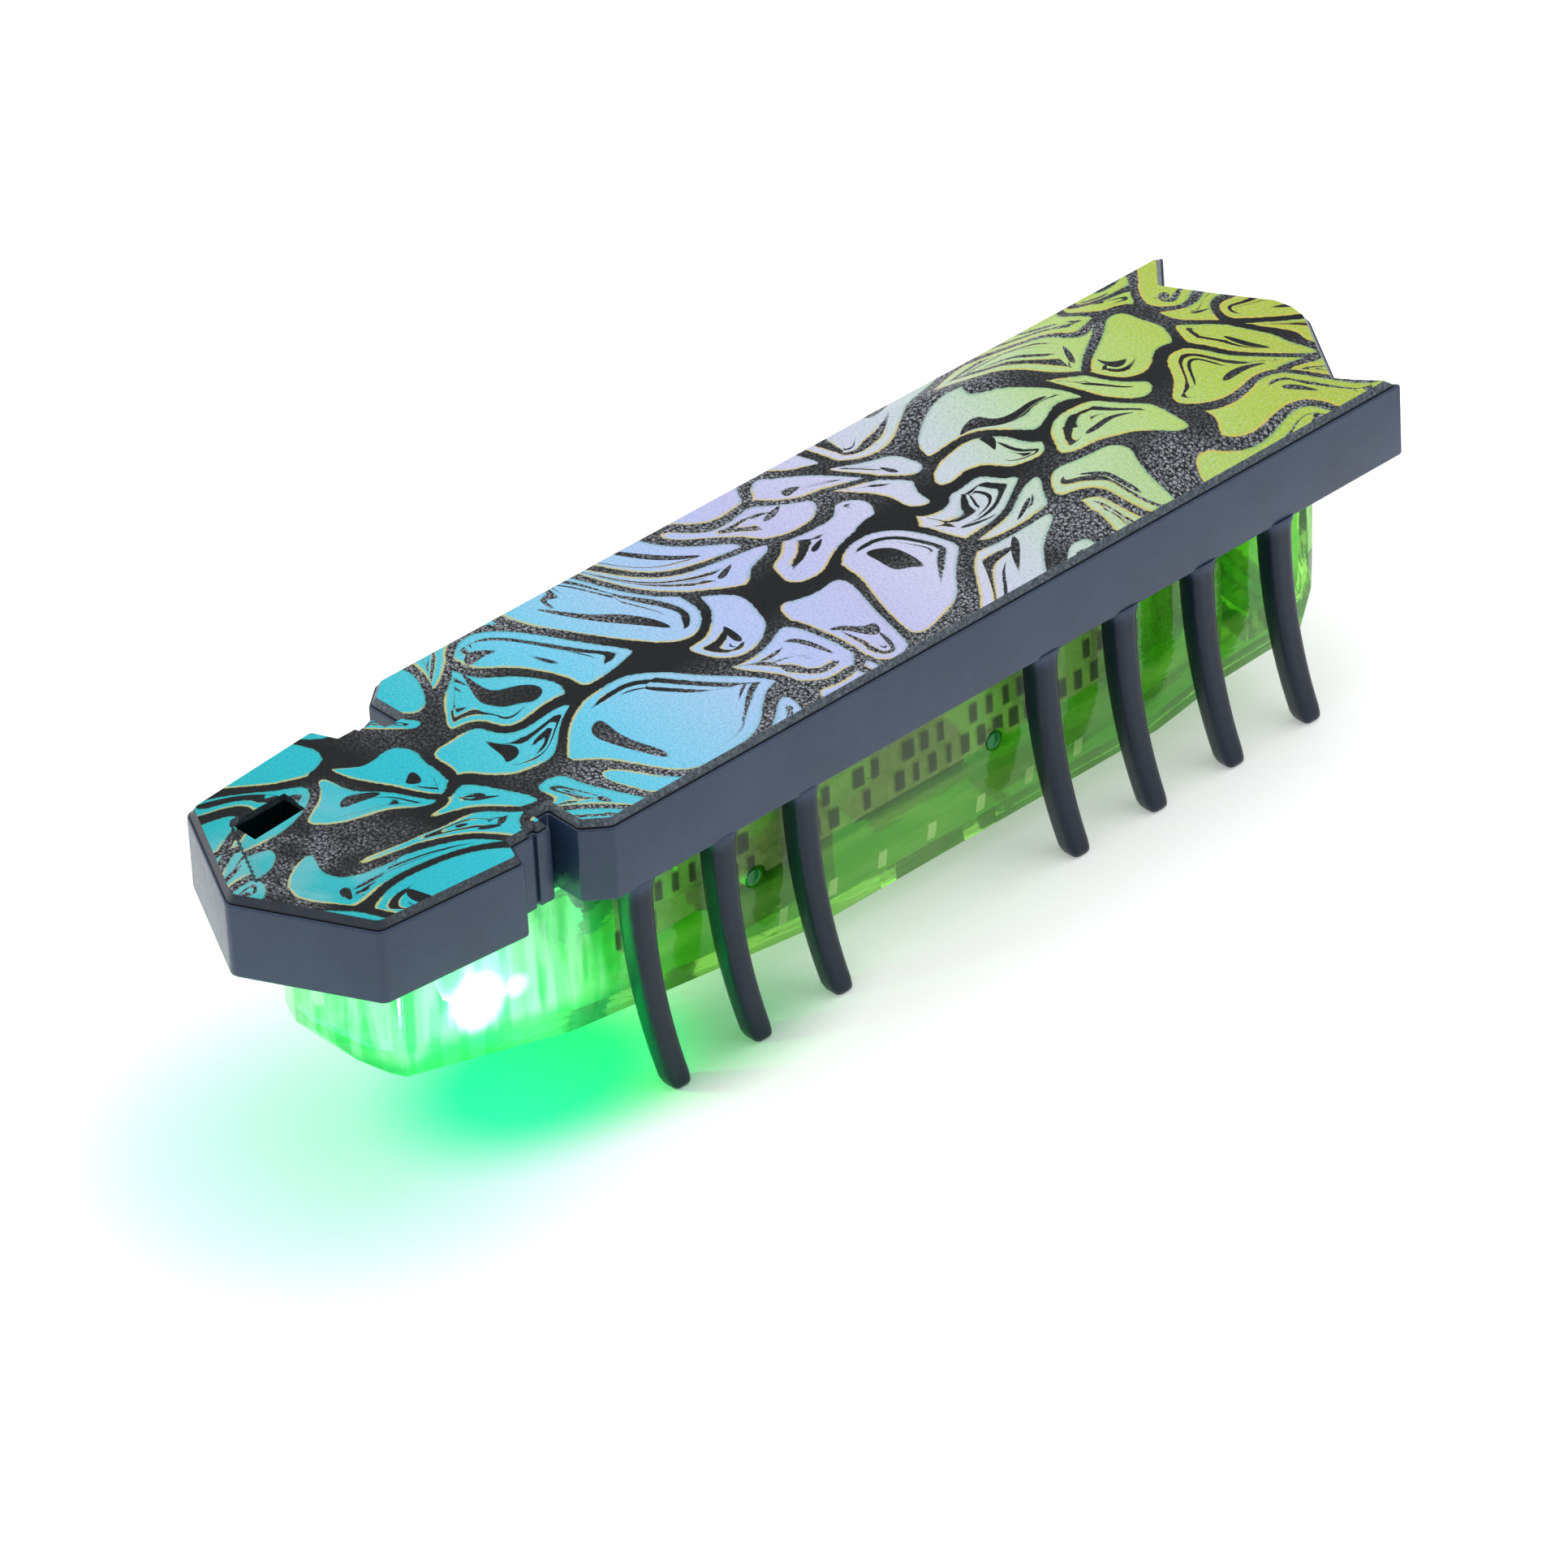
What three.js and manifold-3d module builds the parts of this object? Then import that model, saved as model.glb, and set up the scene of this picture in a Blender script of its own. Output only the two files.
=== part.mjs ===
// Vibration-driven bug robot: a printed cover on a rubber deck with fourteen
// curved rubber legs, over a clear housing that holds a button cell, a motor
// with an eccentric weight, a circuit board and a light-emitting diode.
// Millimetres. +Z up, nose towards -Y, origin on the ground under the middle.
import * as THREE from "three";
import { mergeVertices } from "three/addons/utils/BufferGeometryUtils.js";
import { ConvexGeometry } from "three/addons/geometries/ConvexGeometry.js";
import Module from "manifold-3d";

// ---------------------------------------------------------------- dimensions
const SLAB_Z0 = 10.0;        // underside of the rubber deck
const SLAB_Z1 = 13.25;       // top edge of the rubber deck's wall
const COVER_T = 0.4;         // printed cover, above the rubber
const COVER_BEVEL = 0.25;    // how far the cover's bevelled rim leans in
const HUMP = 1.2;            // rise of the cover over the button cell
const HUMP_SKIN = 0.45;      // cover thickness over the cell
const HALF_W = 6.8;          // half width of the deck at the shoulders
const REAR_HALF_W = 6.72;    // half width at the rear tips
const NOSE_Y = -27.84;       // tip of the nose
const TAIL_Y = 27.84;        // middle of the rear edge
const CELL_R = 5.8;          // button cell radius (11.6 mm cell)
const CELL_T = 5.4;          // button cell thickness
const CELL_Y = 14.4;
const CELL_Z = 8.15;
const HOUSE_HALF = 5.0;      // outside of the housing's upright wall
const HOUSE_TOP = 9.95;      // ledge that the rubber deck rests on
const BREAK_Z = 5.35;        // where the housing wall turns inwards
const BELLY_Z = 1.45;        // lowest part of the belly
const WALL = 0.7;
const RIM_HALF = 3.9;        // narrow rim inside the rubber deck
const RIM_TOP = 11.7;
const LEG_PITCH = 4.2;
const LEG_SLOTS = [0, 1, 2, 5, 6, 7, 8];
const LEG_Y0 = -13.24;
const LEG_X = 6.2;
const LEG_PIVOT_Z = 9.45;
const LEG_HEAD_R = 0.5;
const MOTOR_Z = 6.4;
const MOTOR_R = 3.0;         // 6 mm motor
const LED_X = 1.7, LED_Y = -17.9;
const DOOR_HINGE_Y = 7.75, DOOR_HINGE_Z = BELLY_Z + 0.375;
const SCREW_Y = 21.4;

// ------------------------------------------------------------------- helpers
const wasm = await Module();
wasm.setup();

function solid(geometry) {
  let g = geometry.index ? geometry.toNonIndexed() : geometry.clone();
  g.deleteAttribute("normal");
  g.deleteAttribute("uv");
  g = mergeVertices(g, 1e-4);
  return new wasm.Manifold(new wasm.Mesh({
    numProp: 3,
    vertProperties: new Float32Array(g.attributes.position.array),
    triVerts: new Uint32Array(g.index.array),
  }));
}
function toGeometry(m) {
  const mesh = m.getMesh();
  const n = mesh.numProp;
  const count = mesh.vertProperties.length / n;
  const p = new Float32Array(count * 3);
  for (let i = 0; i < count; i++)
    for (let k = 0; k < 3; k++) p[i * 3 + k] = mesh.vertProperties[i * n + k];
  const g = new THREE.BufferGeometry();
  g.setAttribute("position", new THREE.BufferAttribute(p, 3));
  g.setIndex(Array.from(mesh.triVerts));
  g.computeVertexNormals();
  return g;
}
const shapeOf = (pts) => new THREE.Shape(pts.map(([a, b]) => new THREE.Vector2(a, b)));
const flat = (depth) => ({ depth, bevelEnabled: false, curveSegments: 8, steps: 1 });

// outline in plan (x, y), raised from z0 to z1
function prismZ(pts, z0, z1) {
  const g = new THREE.ExtrudeGeometry(shapeOf(pts), flat(z1 - z0));
  g.translate(0, 0, z0);
  return solid(g);
}
// outline in side view (y, z), from x0 to x1
function prismX(pts, x0, x1) {
  const g = new THREE.ExtrudeGeometry(shapeOf(pts), flat(x1 - x0));
  g.applyMatrix4(new THREE.Matrix4().set(0, 0, 1, x0, 1, 0, 0, 0, 0, 1, 0, 0, 0, 0, 0, 1));
  return solid(g);
}
// outline in front view (x, z), from y0 to y1
function prismY(pts, y0, y1) {
  const g = new THREE.ExtrudeGeometry(shapeOf(pts), flat(y1 - y0));
  g.applyMatrix4(new THREE.Matrix4().set(1, 0, 0, 0, 0, 0, -1, y1, 0, 1, 0, 0, 0, 0, 0, 1));
  return solid(g);
}
function box(x0, x1, y0, y1, z0, z1) {
  const g = new THREE.BoxGeometry(x1 - x0, y1 - y0, z1 - z0);
  g.translate((x0 + x1) / 2, (y0 + y1) / 2, (z0 + z1) / 2);
  return solid(g);
}
// round bar along an axis: from a to b
function bar(r, axis, a, b, c1, c2, seg = 20, r2 = r) {
  const g = new THREE.CylinderGeometry(r2, r, b - a, seg, 1);
  if (axis === "x") { g.rotateZ(-Math.PI / 2); g.translate((a + b) / 2, c1, c2); }
  if (axis === "y") { g.translate(c1, (a + b) / 2, c2); }
  if (axis === "z") { g.rotateX(Math.PI / 2); g.translate(c1, c2, (a + b) / 2); }
  return solid(g);
}
// turned profile (r, h) about an axis through (c1, c2), h along the axis
function turned(profile, axis, c1, c2, seg = 28) {
  const g = new THREE.LatheGeometry(profile.map(([r, h]) => new THREE.Vector2(r, h)), seg);
  if (axis === "x") { g.rotateZ(-Math.PI / 2); g.translate(0, c1, c2); }
  if (axis === "y") { g.translate(c1, 0, c2); }
  if (axis === "z") { g.rotateX(Math.PI / 2); g.translate(c1, c2, 0); }
  return solid(g);
}
// tube of radius r through the given points
function wire(points, r, steps = 16, sides = 8) {
  const s = [];
  for (let i = 0; i < sides; i++) {
    const a = (i / sides) * Math.PI * 2;
    s.push([r * Math.cos(a), r * Math.sin(a)]);
  }
  const path = new THREE.CatmullRomCurve3(points.map((p) => new THREE.Vector3(...p)), false, "centripetal");
  return solid(new THREE.ExtrudeGeometry(shapeOf(s), { steps, bevelEnabled: false, extrudePath: path }));
}
const hull = (pts) => solid(new ConvexGeometry(pts.map((p) => new THREE.Vector3(...p))));
const mirrorPts = (half) => [...half, ...half.slice().reverse().filter(([x]) => x > 1e-6).map(([x, y]) => [-x, y])];
const join = (...list) => list.reduce((a, b) => a.add(b));

const root = new THREE.Group();
function put(name, body, colour, roughness = 0.5, metalness = 0, opacity = 1) {
  const geometry = body instanceof THREE.BufferGeometry ? body : toGeometry(body);
  const material = new THREE.MeshStandardMaterial({ color: colour, roughness, metalness });
  if (opacity < 1) { material.transparent = true; material.opacity = opacity; }
  const mesh = new THREE.Mesh(geometry, material);
  mesh.name = name;
  root.add(mesh);
  return mesh;
}

const RUBBER = 0x485469, CLEAR = 0x6fd62f, STEEL = 0xb9bcc2, BRASS = 0xc9a557;

// ------------------------------------------------------------- plan outlines
// nose V, cheeks, neck with a narrow groove, chamfered shoulders, W-shaped rear
const deckHalf = [
  [0, NOSE_Y], [5.57, -25.04], [6.15, -18.4], [5.05, -17.95], [5.05, -16.05],
  [4.62, -16.05], [4.62, -15.62], [5.95, -15.62], [HALF_W, -14.55],
  [REAR_HALF_W, 27.0], [4.84, 25.3], [0.9, 27.7], [0, TAIL_Y],
];
const deckOutline = mirrorPts(deckHalf);

// window through the nose, over the clear housing
const noseWindow = (z0, z1) => box(-3.5, -2.3, -24.4, -21.9, z0, z1);
// hump over the button cell: two side slopes, a front ramp, a long fall to the rear
function humpSolid(drop, inset) {
  const z0 = SLAB_Z1 - 0.6, zb = SLAB_Z1 + COVER_T - drop, zt = zb + HUMP;
  const h = 6.5 - inset;
  return hull([
    [-h, 10.1 + inset, z0], [h, 10.1 + inset, z0], [-h, 26.6, z0], [h, 26.6, z0],
    [-h, 10.1 + inset, zb], [h, 10.1 + inset, zb], [-h, 26.6, zb - 0.15], [h, 26.6, zb - 0.15],
    [-(3.7 - inset * 0.4), CELL_Y, zt], [3.7 - inset * 0.4, CELL_Y, zt],
    [-2.7, 27.2, zb - 0.1], [2.7, 27.2, zb - 0.1], [0, 28.2, zb - 0.15], [0, 28.2, z0],
  ]);
}

// -------------------------------------------------------- printed top cover
{
  const g = new THREE.ExtrudeGeometry(shapeOf(deckOutline), {
    depth: 0.6, bevelEnabled: true, bevelThickness: COVER_T, bevelSize: COVER_BEVEL,
    bevelOffset: -COVER_BEVEL, bevelSegments: 1, steps: 1,
  });
  g.translate(0, 0, SLAB_Z1 - 0.6);
  const under = box(-20, 20, -40, 40, SLAB_Z1 - 3, SLAB_Z1 + 0.01);
  const trim = prismZ(deckOutline, SLAB_Z1 - 1, SLAB_Z1 + 3);
  let cover = solid(g).add(humpSolid(0, 0).intersect(trim)).subtract(under);
  // hollow over the cell
  const pocket = humpSolid(HUMP_SKIN, 0.5).intersect(box(-3.0, 3.0, 10.2, 18.7, 12, 16));
  cover = cover.subtract(pocket).subtract(noseWindow(12, 15));
  put("printed_top_cover", cover, 0x6fb6d8, 0.4, 0);
}

// -------------------------------------------------------------- rubber deck
{
  let slab = prismZ(deckOutline, SLAB_Z0, SLAB_Z1);
  const pocketHalf = [[0, -21.5], [RIM_HALF + 0.15, -21.5], [RIM_HALF + 0.15, 22.8], [0, 22.8]];
  slab = slab.subtract(prismZ(mirrorPts(pocketHalf), SLAB_Z0 - 1, 12.65));
  slab = slab.subtract(box(-3.0, 3.0, 10.0, 18.8, 12, 14));
  slab = slab.subtract(noseWindow(9, 14));
  put("rubber_deck", slab, RUBBER, 0.55, 0);
}

// ------------------------------------------------------------ clear housing
const bellyZ = (y) => y < -3 ? BELLY_Z + (-3 - y) * (4.45 - BELLY_Z) / (23 - 3) : BELLY_Z;
function housingShell(t, top) {
  // cross-section, side profile and plan, all moved in by t
  const section = [[HOUSE_HALF - t, 10.5], [-(HOUSE_HALF - t), 10.5], [-(HOUSE_HALF - t), BREAK_Z],
    [-(4.28 - t), 0.9], [4.28 - t, 0.9], [HOUSE_HALF - t, BREAK_Z]];
  const b = t > 0 ? 0.75 : 0;
  const profile = [
    [-24.4 + t, 10.5], [-24.3 + t, 7.5], [-24.1 + t, 5.6 + b * 0.4], [-23.6 + t, 4.8 + b], [-23 + t * 0.4, 4.45 + b],
    [-3, BELLY_Z + b], [15.5, BELLY_Z + b], [19, 2.2 + b], [23.2 - t * 0.6, 2.4 + b],
    [23.75 - t, 5.2], [24.15 - t, 10.5],
  ];
  const planHalf = [[0, -24.05 + t * 1.03], [1.69 - t * 0.36, -23.65 + t * 0.94], [3.5 - t * 0.91, -22.7 + t * 0.65], [HOUSE_HALF - t, -13.5 + t * 0.07],
    [HOUSE_HALF - t, 23.3 - t * 0.5], [4.5 - t * 0.6, 24.3 - t], [0, 24.3 - t]];
  return prismY(section, -30, 30).intersect(prismX(profile, -8, 8)).intersect(prismZ(mirrorPts(planHalf), 0, top));
}
{
  let tub = housingShell(0, HOUSE_TOP);
  // narrow rim that stands up inside the rubber deck
  tub = tub.add(box(-RIM_HALF, RIM_HALF, -21.3, 22.6, HOUSE_TOP - 0.5, RIM_TOP));
  let inside = housingShell(WALL, HOUSE_TOP - WALL);
  inside = inside.add(box(-3.3, 3.3, -20.7, 22.0, 8.5, RIM_TOP + 1));
  tub = tub.subtract(inside);
  // ribs that guide the cell
  for (const s of [-1, 1]) for (const y of [10.2, 18.6]) {
    const a = s > 0 ? 3.28 : -4.4, b = s > 0 ? 4.4 : -3.28;
    tub = tub.add(box(a, b, y - 0.3, y + 0.3, 2.6, HOUSE_TOP - 0.4).intersect(housingShell(WALL - 0.05, HOUSE_TOP)));
  }
  // cross rib behind the cell, with the screw's bore
  tub = tub.add(box(-4.4, 4.4, 20.4, 23.3, 3.3, 4.7).intersect(housingShell(WALL - 0.05, HOUSE_TOP)));
  tub = tub.subtract(bar(0.8, "z", 3, 5, 0, SCREW_Y, 16));
  // opening for the battery door, with two pivot holes
  tub = tub.subtract(box(-3.05, 3.05, 7.3, 22.6, 1, 3.29));
  tub = tub.subtract(bar(0.26, "x", -3.6, 3.6, DOOR_HINGE_Y, DOOR_HINGE_Z, 12));
  // slot for the on/off slider
  tub = tub.subtract(box(-0.95, 0.95, 2.9, 6.5, 1, 2.6));
  // holes for the four latch pins
  for (const s of [-1, 1]) for (const y of [-6.3, 6.3])
    tub = tub.subtract(bar(0.45, "x", s > 0 ? 4.1 : -5.2, s > 0 ? 5.2 : -4.1, y, 5.9, 12));
  put("housing_tub", tub, CLEAR, 0.1, 0, 0.5);
}
{
  // deck plate that closes the rim, with the window for the cell
  let lid = box(-RIM_HALF, RIM_HALF, -21.3, 22.6, RIM_TOP + 0.02, 12.5);
  lid = lid.subtract(box(-2.95, 2.95, 9.3, 19.5, 11, 13));
  // locating lip that drops inside the rim
  let lip = box(-3.2, 3.2, -20.6, 21.9, 11.35, RIM_TOP + 0.1).subtract(box(-2.9, 2.9, -20.2, 21.5, 11, 12));
  lip = lip.subtract(box(-4, 4, -1.5, 19.8, 11, RIM_TOP));
  put("housing_lid", lid.add(lip), CLEAR, 0.1, 0, 0.5);
}
{
  let n = 1;
  for (const s of [-1, 1]) for (const y of [-6.3, 6.3])
    put(`latch_pin_${n++}`, bar(0.38, "x", s > 0 ? 4.25 : -5.02, s > 0 ? 5.02 : -4.25, y, 5.9, 12), 0x1f9a45, 0.3, 0);
}
for (const [name, s] of [["side_label_right", 1], ["side_label_left", -1]]) {
  const pts = [[-13.4, 6.25], [-13.1, 5.95], [12.1, 5.95], [12.4, 6.25], [12.4, 9.3], [12.1, 9.6], [-13.1, 9.6], [-13.4, 9.3]];
  const near = HOUSE_HALF + 0.02, far = HOUSE_HALF + 0.1;
  let lab = prismX(pts, s > 0 ? near : -far, s > 0 ? far : -near);
  for (const y of [-6.3, 6.3]) lab = lab.subtract(bar(0.6, "x", -6, 6, y, 5.9, 12));
  put(name, lab, 0x9fc545, 0.5, 0);
}

// ---------------------------------------------------------------- legs
function leg(side, y0) {
  const w = 0.56, pts = [];
  const c = 0.22;
  // section with cut corners, in (x, y)
  const section = (hx, hy) => [[-hx + c, -hy], [hx - c, -hy], [hx, -hy + c], [hx, hy - c], [hx - c, hy], [-hx + c, hy], [-hx, hy - c], [-hx, -hy + c]];
  const levels = 9;
  const rings = [];
  for (let i = 0; i <= levels; i++) {
    const z = LEG_PIVOT_Z * (1 - i / levels);
    const t = (LEG_PIVOT_Z - z) / LEG_PIVOT_Z;
    const dy = 1.25 * Math.pow(t, 2.1);
    const dx = 0.3 * Math.pow(t, 1.5);
    const hx = w - 0.07 * t, hy = 0.58 - 0.1 * t;
    rings.push(section(hx, hy).map(([a, b]) => [side * (LEG_X + dx) + a, y0 + dy + b, z]));
  }
  let body = null;
  for (let i = 0; i < levels; i++) {
    const piece = hull([...rings[i], ...rings[i + 1]]);
    body = body ? body.add(piece) : piece;
  }
  const head = bar(LEG_HEAD_R, "x", side * LEG_X - 0.48, side * LEG_X + 0.48, y0, LEG_PIVOT_Z, 20);
  body = body.add(head);
  return body;
}
for (const [tag, s] of [["right", 1], ["left", -1]]) {
  LEG_SLOTS.forEach((k, i) => put(`leg_${tag}_${i + 1}`, leg(s, LEG_Y0 + LEG_PITCH * k), RUBBER, 0.6, 0));
}

// ------------------------------------------------------------------ motor
put("motor_can", turned([[0, -9.0], [0.75, -9.0], [0.75, -8.6], [2.85, -8.6], [MOTOR_R, -8.45], [MOTOR_R, 1.0], [0, 1.0]], "y", 0, MOTOR_Z, 28)
  .subtract(bar(0.45, "y", -10, -5, 0, MOTOR_Z, 16)), STEEL, 0.3, 0.9);
put("motor_end_cap", turned([[0, 1.05], [2.9, 1.05], [2.9, 1.6], [2.6, 1.85], [0, 1.85]], "y", 0, MOTOR_Z, 24), 0xe9e6dc, 0.5, 0);
put("motor_shaft", bar(0.38, "y", -13.2, -5.3, 0, MOTOR_Z, 16), STEEL, 0.25, 1);
{
  // half-round weight with a hub
  const pts = [];
  for (let i = 0; i <= 14; i++) {
    const a = Math.PI + (i / 14) * Math.PI;
    pts.push([2.4 * Math.cos(a), MOTOR_Z + 2.4 * Math.sin(a)]);
  }
  let weight = prismY(pts, -12.9, -9.7).add(bar(0.9, "y", -12.9, -9.7, 0, MOTOR_Z, 20));
  weight = weight.subtract(bar(0.42, "y", -14, -9, 0, MOTOR_Z, 16));
  put("eccentric_weight", weight, 0x8f9197, 0.35, 1);
}
{
  let cradle = box(-3.75, 3.75, -6.6, -1.4, 3.0, 6.3).intersect(housingShell(WALL + 0.15, 9));
  cradle = cradle.subtract(bar(MOTOR_R + 0.08, "y", -9, 2, 0, MOTOR_Z, 28));
  cradle = cradle.subtract(box(-5, 5, -5.0, -3.0, 4.2, 8));
  put("motor_cradle", cradle, 0x4a5568, 0.7, 0);
}

// -------------------------------------------------------- circuit board etc.
const PCB_Z0 = 10.4, PCB_Z1 = 11.0;
{
  let pcb = box(-3.0, 3.0, -20.3, 2.2, PCB_Z0, PCB_Z1);
  for (const x of [LED_X - 0.64, LED_X + 0.64]) pcb = pcb.subtract(bar(0.3, "z", 10, 12, x, LED_Y, 10));
  for (const x of [-0.95, 0.95]) pcb = pcb.subtract(bar(0.32, "z", 10, 12, x, 1.2, 10));
  put("circuit_board", pcb, 0x1e7a44, 0.5, 0);
}
put("control_chip", box(-1.9, 1.9, -11.6, -8.2, 9.35, PCB_Z0 - 0.05).add(box(-2.6, 2.6, -11.2, -8.6, 10.15, PCB_Z0 - 0.05)), 0x17181b, 0.45, 0);
put("chip_resistor", box(-2.5, -0.9, -16.0, -15.2, 9.9, PCB_Z0 - 0.05), 0x24262b, 0.5, 0);
put("chip_capacitor", box(-2.6, -1.0, -13.9, -13.0, 9.7, PCB_Z0 - 0.05), 0xa98a5b, 0.6, 0);
put("led_body", turned([[0, 4.75], [0.55, 4.85], [1.05, 5.2], [1.4, 5.75], [1.5, 6.25], [1.5, 8.1], [1.7, 8.1], [1.7, 8.7], [0, 8.7]], "z", LED_X, LED_Y, 24)
  .subtract(bar(0.28, "z", 7.2, 9.5, LED_X - 0.64, LED_Y, 10)).subtract(bar(0.28, "z", 7.2, 9.5, LED_X + 0.64, LED_Y, 10)), 0xe8fff2, 0.1, 0);
{
  const post = (x) => bar(0.2, "z", 7.3, 11.35, x, LED_Y, 8);
  put("led_lead_1", post(LED_X - 0.64), STEEL, 0.3, 1);
  put("led_lead_2", post(LED_X + 0.64), STEEL, 0.3, 1);
}
for (const [name, s, colour] of [["motor_wire_red", 1, 0xc02a22], ["motor_wire_blue", -1, 0x2446a8]]) {
  put(name, wire([[s * 1.3, 1.95, MOTOR_Z + 0.9], [s * 1.3, 2.45, MOTOR_Z + 1.0], [s * 1.15, 2.75, MOTOR_Z + 1.9],
    [s * 1.0, 2.3, MOTOR_Z + 2.9], [s * 0.95, 1.4, MOTOR_Z + 3.5], [s * 0.95, 1.2, MOTOR_Z + 4.3], [s * 0.95, 1.2, 11.2]], 0.22, 20, 8), colour, 0.5, 0);
}

// ------------------------------------------------------------------- switch
{
  let body = box(-2.0, 2.0, 2.35, 7.1, 2.32, 4.7);
  body = body.subtract(box(-1.35, 1.35, 2.7, 6.75, 2, 3.75));
  put("switch_body", body, 0x2b2d33, 0.5, 0);
  const base = box(-1.25, 1.25, 2.85, 5.0, 2.4, 3.6);
  const knob = prismX([[3.15, 0.95], [3.4, 0.8], [4.3, 0.8], [4.55, 0.95], [4.55, 2.5], [3.15, 2.5]], -0.8, 0.8);
  put("switch_slider", base.add(knob), 0x1d1e22, 0.5, 0);
  let comb = box(-0.25, 0.25, 3.05, 6.35, 4.72, 4.95);
  for (const y of [3.2, 4.7, 6.2]) comb = comb.add(box(-0.25, 0.25, y - 0.15, y + 0.15, 4.9, 6.1));
  put("switch_terminals", comb, BRASS, 0.3, 1);
}

// -------------------------------------------------------- battery and door
{
  // can with rolled edge, and the smaller cap on the -X face
  const h = CELL_T / 2;
  put("button_cell", turned([[0, -h], [4.7, -h], [4.95, -h + 0.15], [4.95, -h + 0.45], [5.45, -h + 0.5], [5.7, -h + 0.65], [CELL_R, -h + 0.95],
    [CELL_R, h - 0.3], [CELL_R - 0.3, h], [0, h]], "x", CELL_Y, CELL_Z, 40), 0xc6c9cd, 0.25, 1);
}
for (const [name, s] of [["battery_contact_positive", 1], ["battery_contact_negative", -1]]) {
  const span = (a, b) => (s > 0 ? [a, b] : [-b, -a]);
  const [a0, a1] = span(2.82, 3.02);
  const [b0, b1] = span(2.3, 3.02);
  let c = box(a0, a1, 11.4, 17.4, 4.4, 11.0);
  c = c.add(box(a0, a1, 2.5, 11.6, 10.6, 11.1));
  c = c.add(box(b0, b1, 1.0, 2.9, 11.05, 11.2).subtract(box(-1.35, 1.35, 0, 3, 11, 12)));
  c = c.subtract(box(-4, 4, 13.2, 13.5, 5.2, 9.6)).subtract(box(-4, 4, 15.3, 15.6, 5.2, 9.6));
  put(name, c, s > 0 ? 0xd9dade : BRASS, 0.3, 1);
}
{
  // door: follows the belly, with a round front edge, two pivot pins and a screw hole
  const r = 0.375;
  const arc = [];
  for (let i = 0; i <= 8; i++) {
    const a = Math.PI * 1.5 - (i / 8) * Math.PI;
    arc.push([DOOR_HINGE_Y + r * Math.cos(a), DOOR_HINGE_Z + r * Math.sin(a)]);
  }
  const profile = [...arc, [15.4, BELLY_Z + 0.75], [18.9, 2.95], [22.5, 3.12], [22.5, 2.38], [19, 2.2], [15.5, BELLY_Z]];
  let door = prismX(profile.slice().reverse(), -2.95, 2.95);
  door = door.add(bar(0.2, "x", -3.45, 3.45, DOOR_HINGE_Y, DOOR_HINGE_Z, 12));
  // recess round the screw
  door = door.subtract(bar(0.75, "z", 1, 5, 0, SCREW_Y, 16)).subtract(bar(1.3, "z", 1, 2.75, 0, SCREW_Y, 20));
  put("battery_door", door, CLEAR, 0.15, 0, 0.6);
}
{
  let screw = bar(1.1, "z", 2.25, 2.7, 0, SCREW_Y, 20).add(bar(0.55, "z", 2.6, 4.5, 0, SCREW_Y, 16));
  screw = screw.subtract(box(-0.7, 0.7, SCREW_Y - 0.14, SCREW_Y + 0.14, 2, 2.5)).subtract(box(-0.14, 0.14, SCREW_Y - 0.7, SCREW_Y + 0.7, 2, 2.5));
  put("door_screw", screw, STEEL, 0.3, 1);
}

export default root;
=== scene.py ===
import bpy, bmesh, math
import numpy as np
from mathutils import Matrix, Vector
from mathutils.geometry import delaunay_2d_cdt


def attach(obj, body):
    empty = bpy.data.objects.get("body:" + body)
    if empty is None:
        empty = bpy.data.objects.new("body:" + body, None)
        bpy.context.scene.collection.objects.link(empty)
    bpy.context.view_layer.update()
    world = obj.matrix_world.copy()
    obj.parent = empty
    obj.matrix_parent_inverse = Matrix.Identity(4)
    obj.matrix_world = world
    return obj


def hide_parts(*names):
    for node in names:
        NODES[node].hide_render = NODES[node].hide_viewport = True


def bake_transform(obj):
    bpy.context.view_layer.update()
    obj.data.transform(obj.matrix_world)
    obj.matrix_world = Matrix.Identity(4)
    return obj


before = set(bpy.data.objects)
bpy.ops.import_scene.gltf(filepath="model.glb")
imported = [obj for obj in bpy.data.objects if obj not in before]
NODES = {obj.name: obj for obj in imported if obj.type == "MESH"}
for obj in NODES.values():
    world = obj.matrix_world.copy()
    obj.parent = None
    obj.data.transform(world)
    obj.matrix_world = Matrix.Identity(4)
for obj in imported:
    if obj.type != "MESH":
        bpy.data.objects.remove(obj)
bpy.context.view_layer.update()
MM = 0.001

# ------------------------------------------------------------------ camera
cam_data = bpy.data.cameras.new("camera")
cam = bpy.data.objects.new("camera", cam_data)
bpy.context.scene.collection.objects.link(cam)
bpy.context.scene.camera = cam
cam_data.sensor_width = 36.0
cam_data.lens = 288.25
cam_data.clip_start, cam_data.clip_end = 0.01, 20.0
AZ, EL, ROLL = math.radians(49.30), math.radians(34.88), math.radians(-3.29)
back = Vector((math.sin(AZ) * math.cos(EL), -math.cos(AZ) * math.cos(EL), math.sin(EL)))
right = Vector((math.cos(AZ), math.sin(AZ), 0.0))
up = back.cross(right)
r2 = right * math.cos(ROLL) + up * math.sin(ROLL)
u2 = -right * math.sin(ROLL) + up * math.cos(ROLL)
cam.matrix_world = Matrix(((r2.x, u2.x, back.x, 0.30180), (r2.y, u2.y, back.y, -0.25980),
                           (r2.z, u2.z, back.z, 0.28225), (0, 0, 0, 1)))

# ------------------------------------------------------------- mesh helpers
def add_mesh(name, verts, faces):
    me = bpy.data.meshes.new(name)
    me.from_pydata([tuple(c * MM for c in v) for v in verts], [], faces)
    me.validate()
    me.update()
    o = bpy.data.objects.new(name, me)
    bpy.context.scene.collection.objects.link(o)
    return o


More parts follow.
